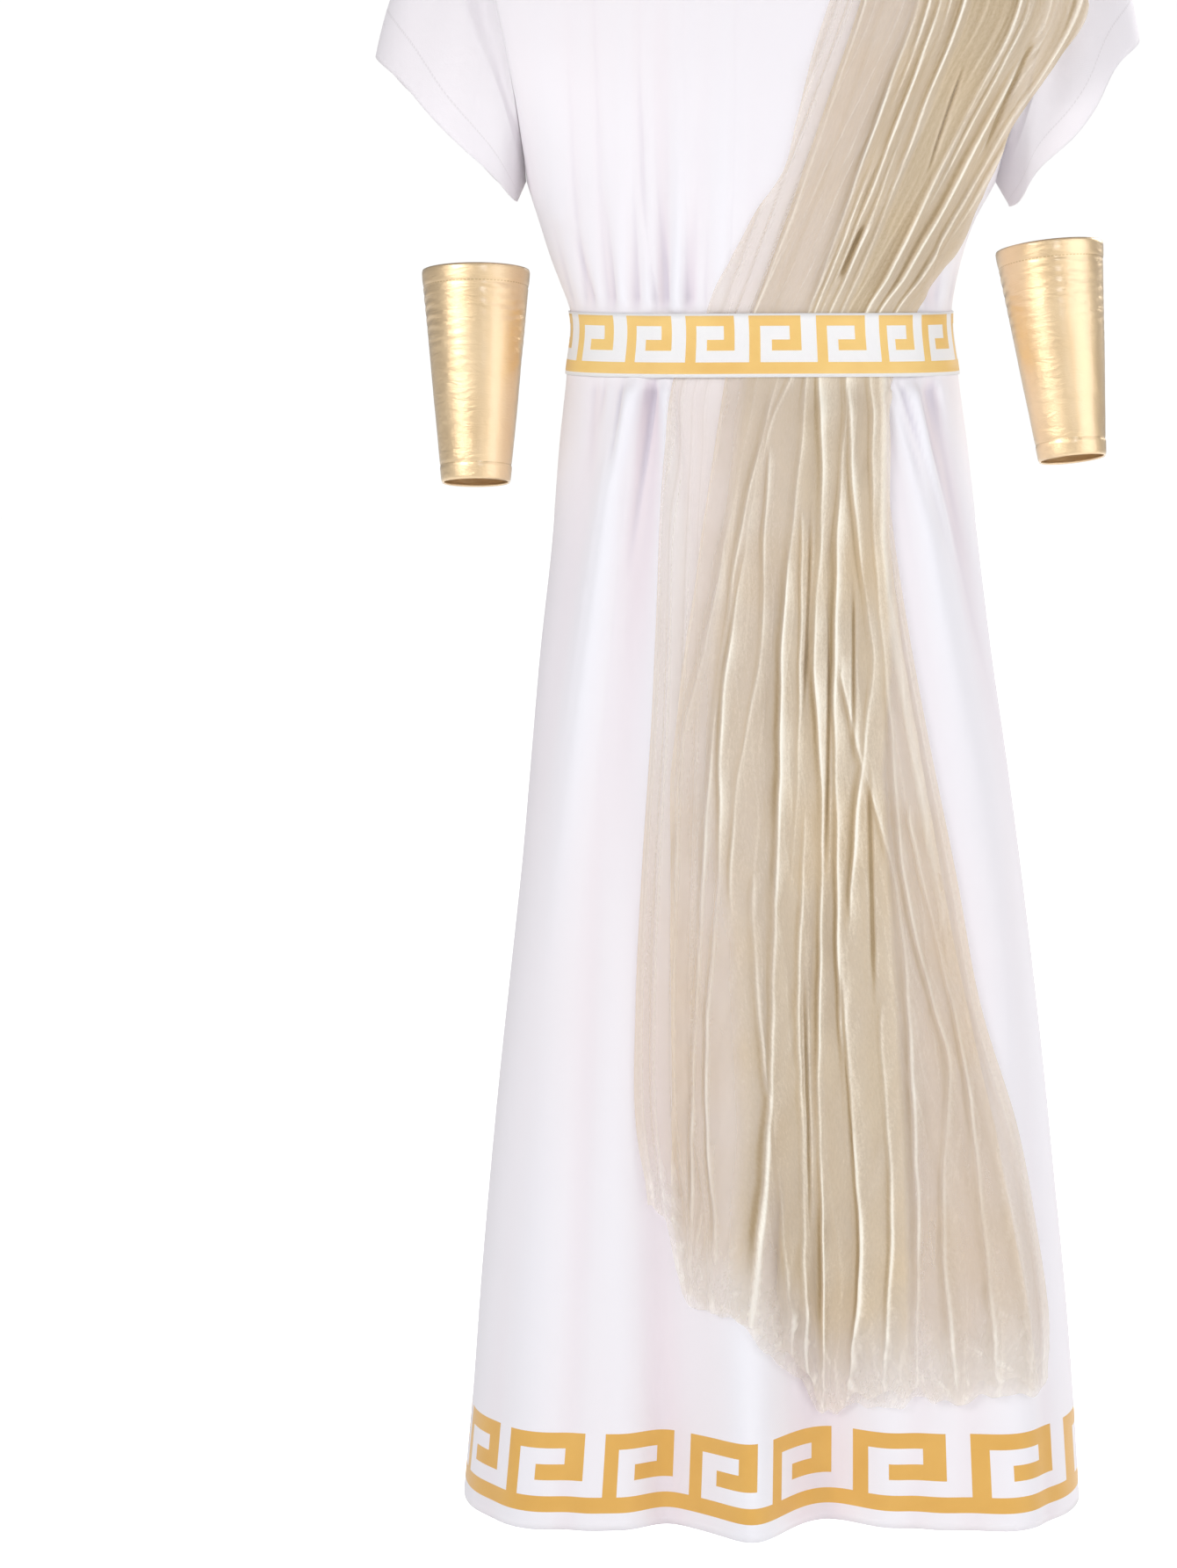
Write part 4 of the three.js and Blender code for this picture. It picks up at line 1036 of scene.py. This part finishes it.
# the grain of threads and crepe is mixed into the painted highlight and shade, more where the cloth is dense
crest_highlight_and_shade = maths(tree, "ADD", crest_highlight_and_shade, product(tree, grain, 0.55, cover))
warm = product(tree, maths(tree, "SUBTRACT", noise(tree, spot, 7.0, 2.0), 0.5), 2.2)
tone = blend(tree, cover, (0.86, 0.71, 0.56, 1), (0.71, 0.595, 0.44, 1))
# random warm patches, then painted highlight on crests, painted shade in hollows, slits and bands, and a
# pale painted sheen where the hem is crumpled
for share, colour in (
    (warm, (0.78, 0.58, 0.33, 1)),
    (crest_highlight_and_shade, (1.0, 0.95, 0.84, 1)),
    (product(tree, crest_highlight_and_shade, -1.0), (0.40, 0.29, 0.16, 1)),
    (product(tree, gloss_and_sheen, 0.5), (0.98, 0.94, 0.88, 1)),
):
    tone = blend(tree, share, tone, colour)
tree.links.new(tone, shader.inputs["Base Color"])
hide = maths(tree, "ADD", cover, product(tree, uneven, 0.3, cover))
hide = maths(tree, "ADD", hide, product(tree, maths(tree, "ABSOLUTE", crest_highlight_and_shade), 0.36))
hide = node(tree, "Clamp", {"Value": hide, "Min": 0.08, "Max": 0.97}).outputs[0]
tree.links.new(hide, shader.inputs["Alpha"])
ripple = maths(tree, "ADD", product(tree, threads, 0.7), product(tree, crepe, 0.8))
raise_surface(tree, shader, 0.5, 0.001, product(tree, ripple, maths(tree, "ADD", cover, gloss_and_sheen)))
tree.links.new(maths(tree, "MULTIPLY_ADD", gloss_and_sheen, -0.24, 0.5), shader.inputs["Roughness"])

for part, layer, columns, rows, place_it, flat, area in (
    ("upper", "inner", 110, 110, upper_inner, (0.25, 0.45), 0.093),
    ("upper", "outer", 230, 170, upper_outer, (0.25, 0.45), 0.097),
    ("lower", "inner", 150, 180, lower_inner, (0.34, 0.92), 0.25),
    ("lower", "outer", 300, 260, lower_outer, (0.34, 0.92), 0.247),
):
    piece = cloth("drape_" + part + "_" + layer, columns, rows, lambda u, v: place_it(u, v)[0])
    size = (230, 440) if part == "upper" else (330, 900)
    cloth_map(piece, "cloth", lambda u, v: (u * size[0], v * size[1]))
    u, v = grid_spots(piece)
    # painted highlight where the cloth stands above its neighbours, stronger where crumpled, and painted
    # shade in hollows and from the pleats' shadows, slits and bands
    step = 2.6 / size[0]
    before, after = (place_it(np.clip(u + move, 0, 1), v)[1] for move in (-step, step))
    sides = (before + after) / 2
    _, height, shadow = place_it(u, v)
    hides, crumpled = (upper_cover if part == "upper" else lower_cover)(u, v, layer == "outer")
    crest_highlight_and_shade = np.clip((height - sides) / 2.2 * (1 + 1.2 * crumpled), -0.3, 1) - shadow
    cloth_value(piece, "cover", hides)
    cloth_value(piece, "gloss_and_sheen", crumpled)
    cloth_value(piece, "crest_highlight_and_shade", np.clip(crest_highlight_and_shade, -1, 1))
    piece.data.materials.append(voile)
    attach(piece, "root")
    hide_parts("drape_" + part)

# The cuffs are tapered tubes of gold lame over a firm backing, open at both ends, with a
# turned and stitched hem at each. They stand clear of the robe, where they are worn.
CUFFS = {
    "left": dict(top=(-247, 19, -381), bottom=(-246.5, -19, -560), wide=47, narrow=30, seed=3),
    "right": dict(top=(244, 19, -361), bottom=(262.5, -19, -540), wide=47, narrow=29.5, seed=4),
}


def cuff(top, bottom, wide, narrow, seed):
    top, bottom = Vector(top), Vector(bottom)
    length = (top - bottom).length
    axis = (top - bottom).normalized()
    across = Vector((0, -1, 0)).cross(axis).normalized() * -1
    forward = axis.cross(across).normalized()
    axis, across, forward = np.array(axis), np.array(across), np.array(forward)

    def place(u, v):
        turn = 2 * math.pi * u
        down = v * length
        edge = np.minimum(down, length - down)
        hem = 1 - ease(13.5, 15, edge)
        roll = 1 - ease(0, 2.4, edge)
        seam = np.exp(-(((edge - 14.5) / 1.4) ** 2))
        around = np.stack((np.cos(turn), np.sin(turn)), axis=1) * 55
        folds = 0.4 * crumple(around[:, 0], around[:, 1] + down * 0.9, seed, 90)
        folds += 0.12 * crumple(around[:, 0] + 40, around[:, 1] + down * 1.3, seed + 9, 45)
        wander = 2.2 * np.sin(turn * 2 + seed) + 1.1 * np.sin(turn * 5)
        rings = np.sin(down / 1.45 + wander) * ease(0.45, 0.8, v)
        rings *= 0.5 + 0.5 * np.sin(turn * 3 + down / 21 + seed)
        radius = narrow + (wide - narrow) * v - 0.8 + hem * 0.35 - roll * 0.8 - seam * 0.45
        radius = radius + (folds + 0.3 * rings) * (1 - hem * 0.7)
        laid = np.array(bottom)[None, :] + axis[None, :] * down[:, None]
        laid = laid + across[None, :] * (radius * np.cos(turn))[:, None]
        laid = laid + forward[None, :] * (radius * 0.88 * np.sin(turn))[:, None]
        return laid[:, 0], laid[:, 1], laid[:, 2]
    return place


lame, tree, shader = new_material(
    "Gold lame", Metallic=0.84, Roughness=0.32, Specular_IOR_Level=0.5,
    Coat_Weight=1.0, Coat_Roughness=0.2, Coat_IOR=1.7
)
lie = cloth_place(tree)
weave = use_group(tree, knit, {"Cloth": lie, "Pitch": 0.9})
cloudy = noise(tree, node(tree, "TexCoord").outputs["Object"], 30.0, 4.0)
tone = blend(tree, cloudy, (0.90, 0.64, 0.35, 1), (0.94, 0.73, 0.46, 1))
edge = node(tree, "SeparateXYZ", {0: lie})
stitched = [maths(tree, "COMPARE", edge.outputs[1], level, 0.5) for level in (14.5, 168.5)]
thread = product(tree, maths(tree, "ADD", *stitched), dashes(tree, edge.outputs[0], 2.8))
tone = blend(tree, product(tree, thread, 0.6), tone, (0.62, 0.42, 0.2, 1))
tree.links.new(tone, shader.inputs["Base Color"])
drawn = node(tree, "VectorMath", {0: lie, 1: (0.045, 0.13, 1)}, operation="MULTIPLY").outputs[0]
soft = noise(tree, drawn, 1.0, 3.0, Roughness=0.55, Distortion=0.6)
raise_surface(tree, shader, 0.3, 0.003, maths(tree, "ADD", product(tree, weave, 0.04), soft))
tree.links.new(maths(tree, "MULTIPLY_ADD", cloudy, 0.16, 0.28), shader.inputs["Roughness"])

for part, cut in CUFFS.items():
    piece = cloth("cuff_" + part + "_lame", 150, 110, cuff(**cut), wall=1.5, closed=True)
    cloth_map(piece, "cloth", lambda u, v: (u * 240, v * 183))
    piece.data.materials.append(lame)
    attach(piece, "root")
    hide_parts("cuff_" + part)

# A plain pale floor stands well below the hem, since the costume hangs as high as it is worn,
# under soft white light from large panels in front, above and to the sides.
FLOOR = -1.62
LOOKED_AT = Vector((0, 0, -0.75))
CAMERA_TILT = 7.4956

bm = bmesh.new()
bmesh.ops.create_circle(bm, cap_ends=True, radius=14, segments=96, matrix=Matrix.Translation((0, 0, FLOOR)))
floor_mesh = bpy.data.meshes.new("floor")
bm.to_mesh(floor_mesh)
bm.free()
floor = bpy.data.objects.new("floor", floor_mesh)
bpy.context.scene.collection.objects.link(floor)
pale_floor, tree, shader = new_material("Pale floor", Roughness=0.9, Emission_Strength=1.0)
shader.inputs["Base Color"].default_value = (0.93, 0.93, 0.925, 1)
direct = node(tree, "LightPath").outputs["Is Camera Ray"]
glow = blend(tree, direct, (0.36, 0.36, 0.36, 1), (1, 1, 0.995, 1))
tree.links.new(glow, shader.inputs["Emission Color"])
floor.data.materials.append(pale_floor)

world = bpy.data.worlds.new("studio")
bpy.context.scene.world = world
world.use_nodes = True
tree = world.node_tree
sky = tree.nodes["Background"]
sky.inputs["Color"].default_value = (0.97, 0.975, 1, 1)
sky.inputs["Strength"].default_value = 0.33
seen = node(tree, "Background", {"Color": (1, 1, 0.995, 1), "Strength": 1.02})
direct = node(tree, "LightPath").outputs["Is Camera Ray"]
both = node(tree, "MixShader", {0: direct, 1: sky.outputs[0], 2: seen.outputs[0]})
tree.links.new(both.outputs[0], tree.nodes["World Output"].inputs["Surface"])

for name, spot, size, power in (
    ("key_panel", (-2.9, -3.1, 1.3), 1.2, 66),
    ("fill_panel", (2.9, -2.0, 0.3), 3.2, 40),
    ("left_strip", (-2.0, -3.6, 1.0), 0.5, 8),
    ("right_strip", (0.9, -3.7, 1.0), 0.8, 10),
    ("top_panel", (0.2, 0.4, 2.6), 2.0, 14),
    ("back_panel", (2.6, 3.0, 1.0), 1.8, 60),
):
    lamp = bpy.data.lights.new(name, "AREA")
    lamp.shape = "DISK"
    lamp.size = size
    lamp.energy = power
    lamp_object = bpy.data.objects.new(name, lamp)
    lamp_object.location = spot
    lamp_object.rotation_euler = (LOOKED_AT - Vector(spot)).to_track_quat("-Z", "Y").to_euler()
    bpy.context.scene.collection.objects.link(lamp_object)

eye = bpy.data.cameras.new("camera")
eye.sensor_width = 36
eye.lens = 107.06
camera = bpy.data.objects.new("camera", eye)
camera.location = (-0.1505, -4.0, -0.2956)
camera.rotation_euler = (math.radians(90 - CAMERA_TILT), 0, 0)
bpy.context.scene.collection.objects.link(camera)
bpy.context.scene.camera = camera
bpy.context.scene.view_settings.view_transform = "Standard"
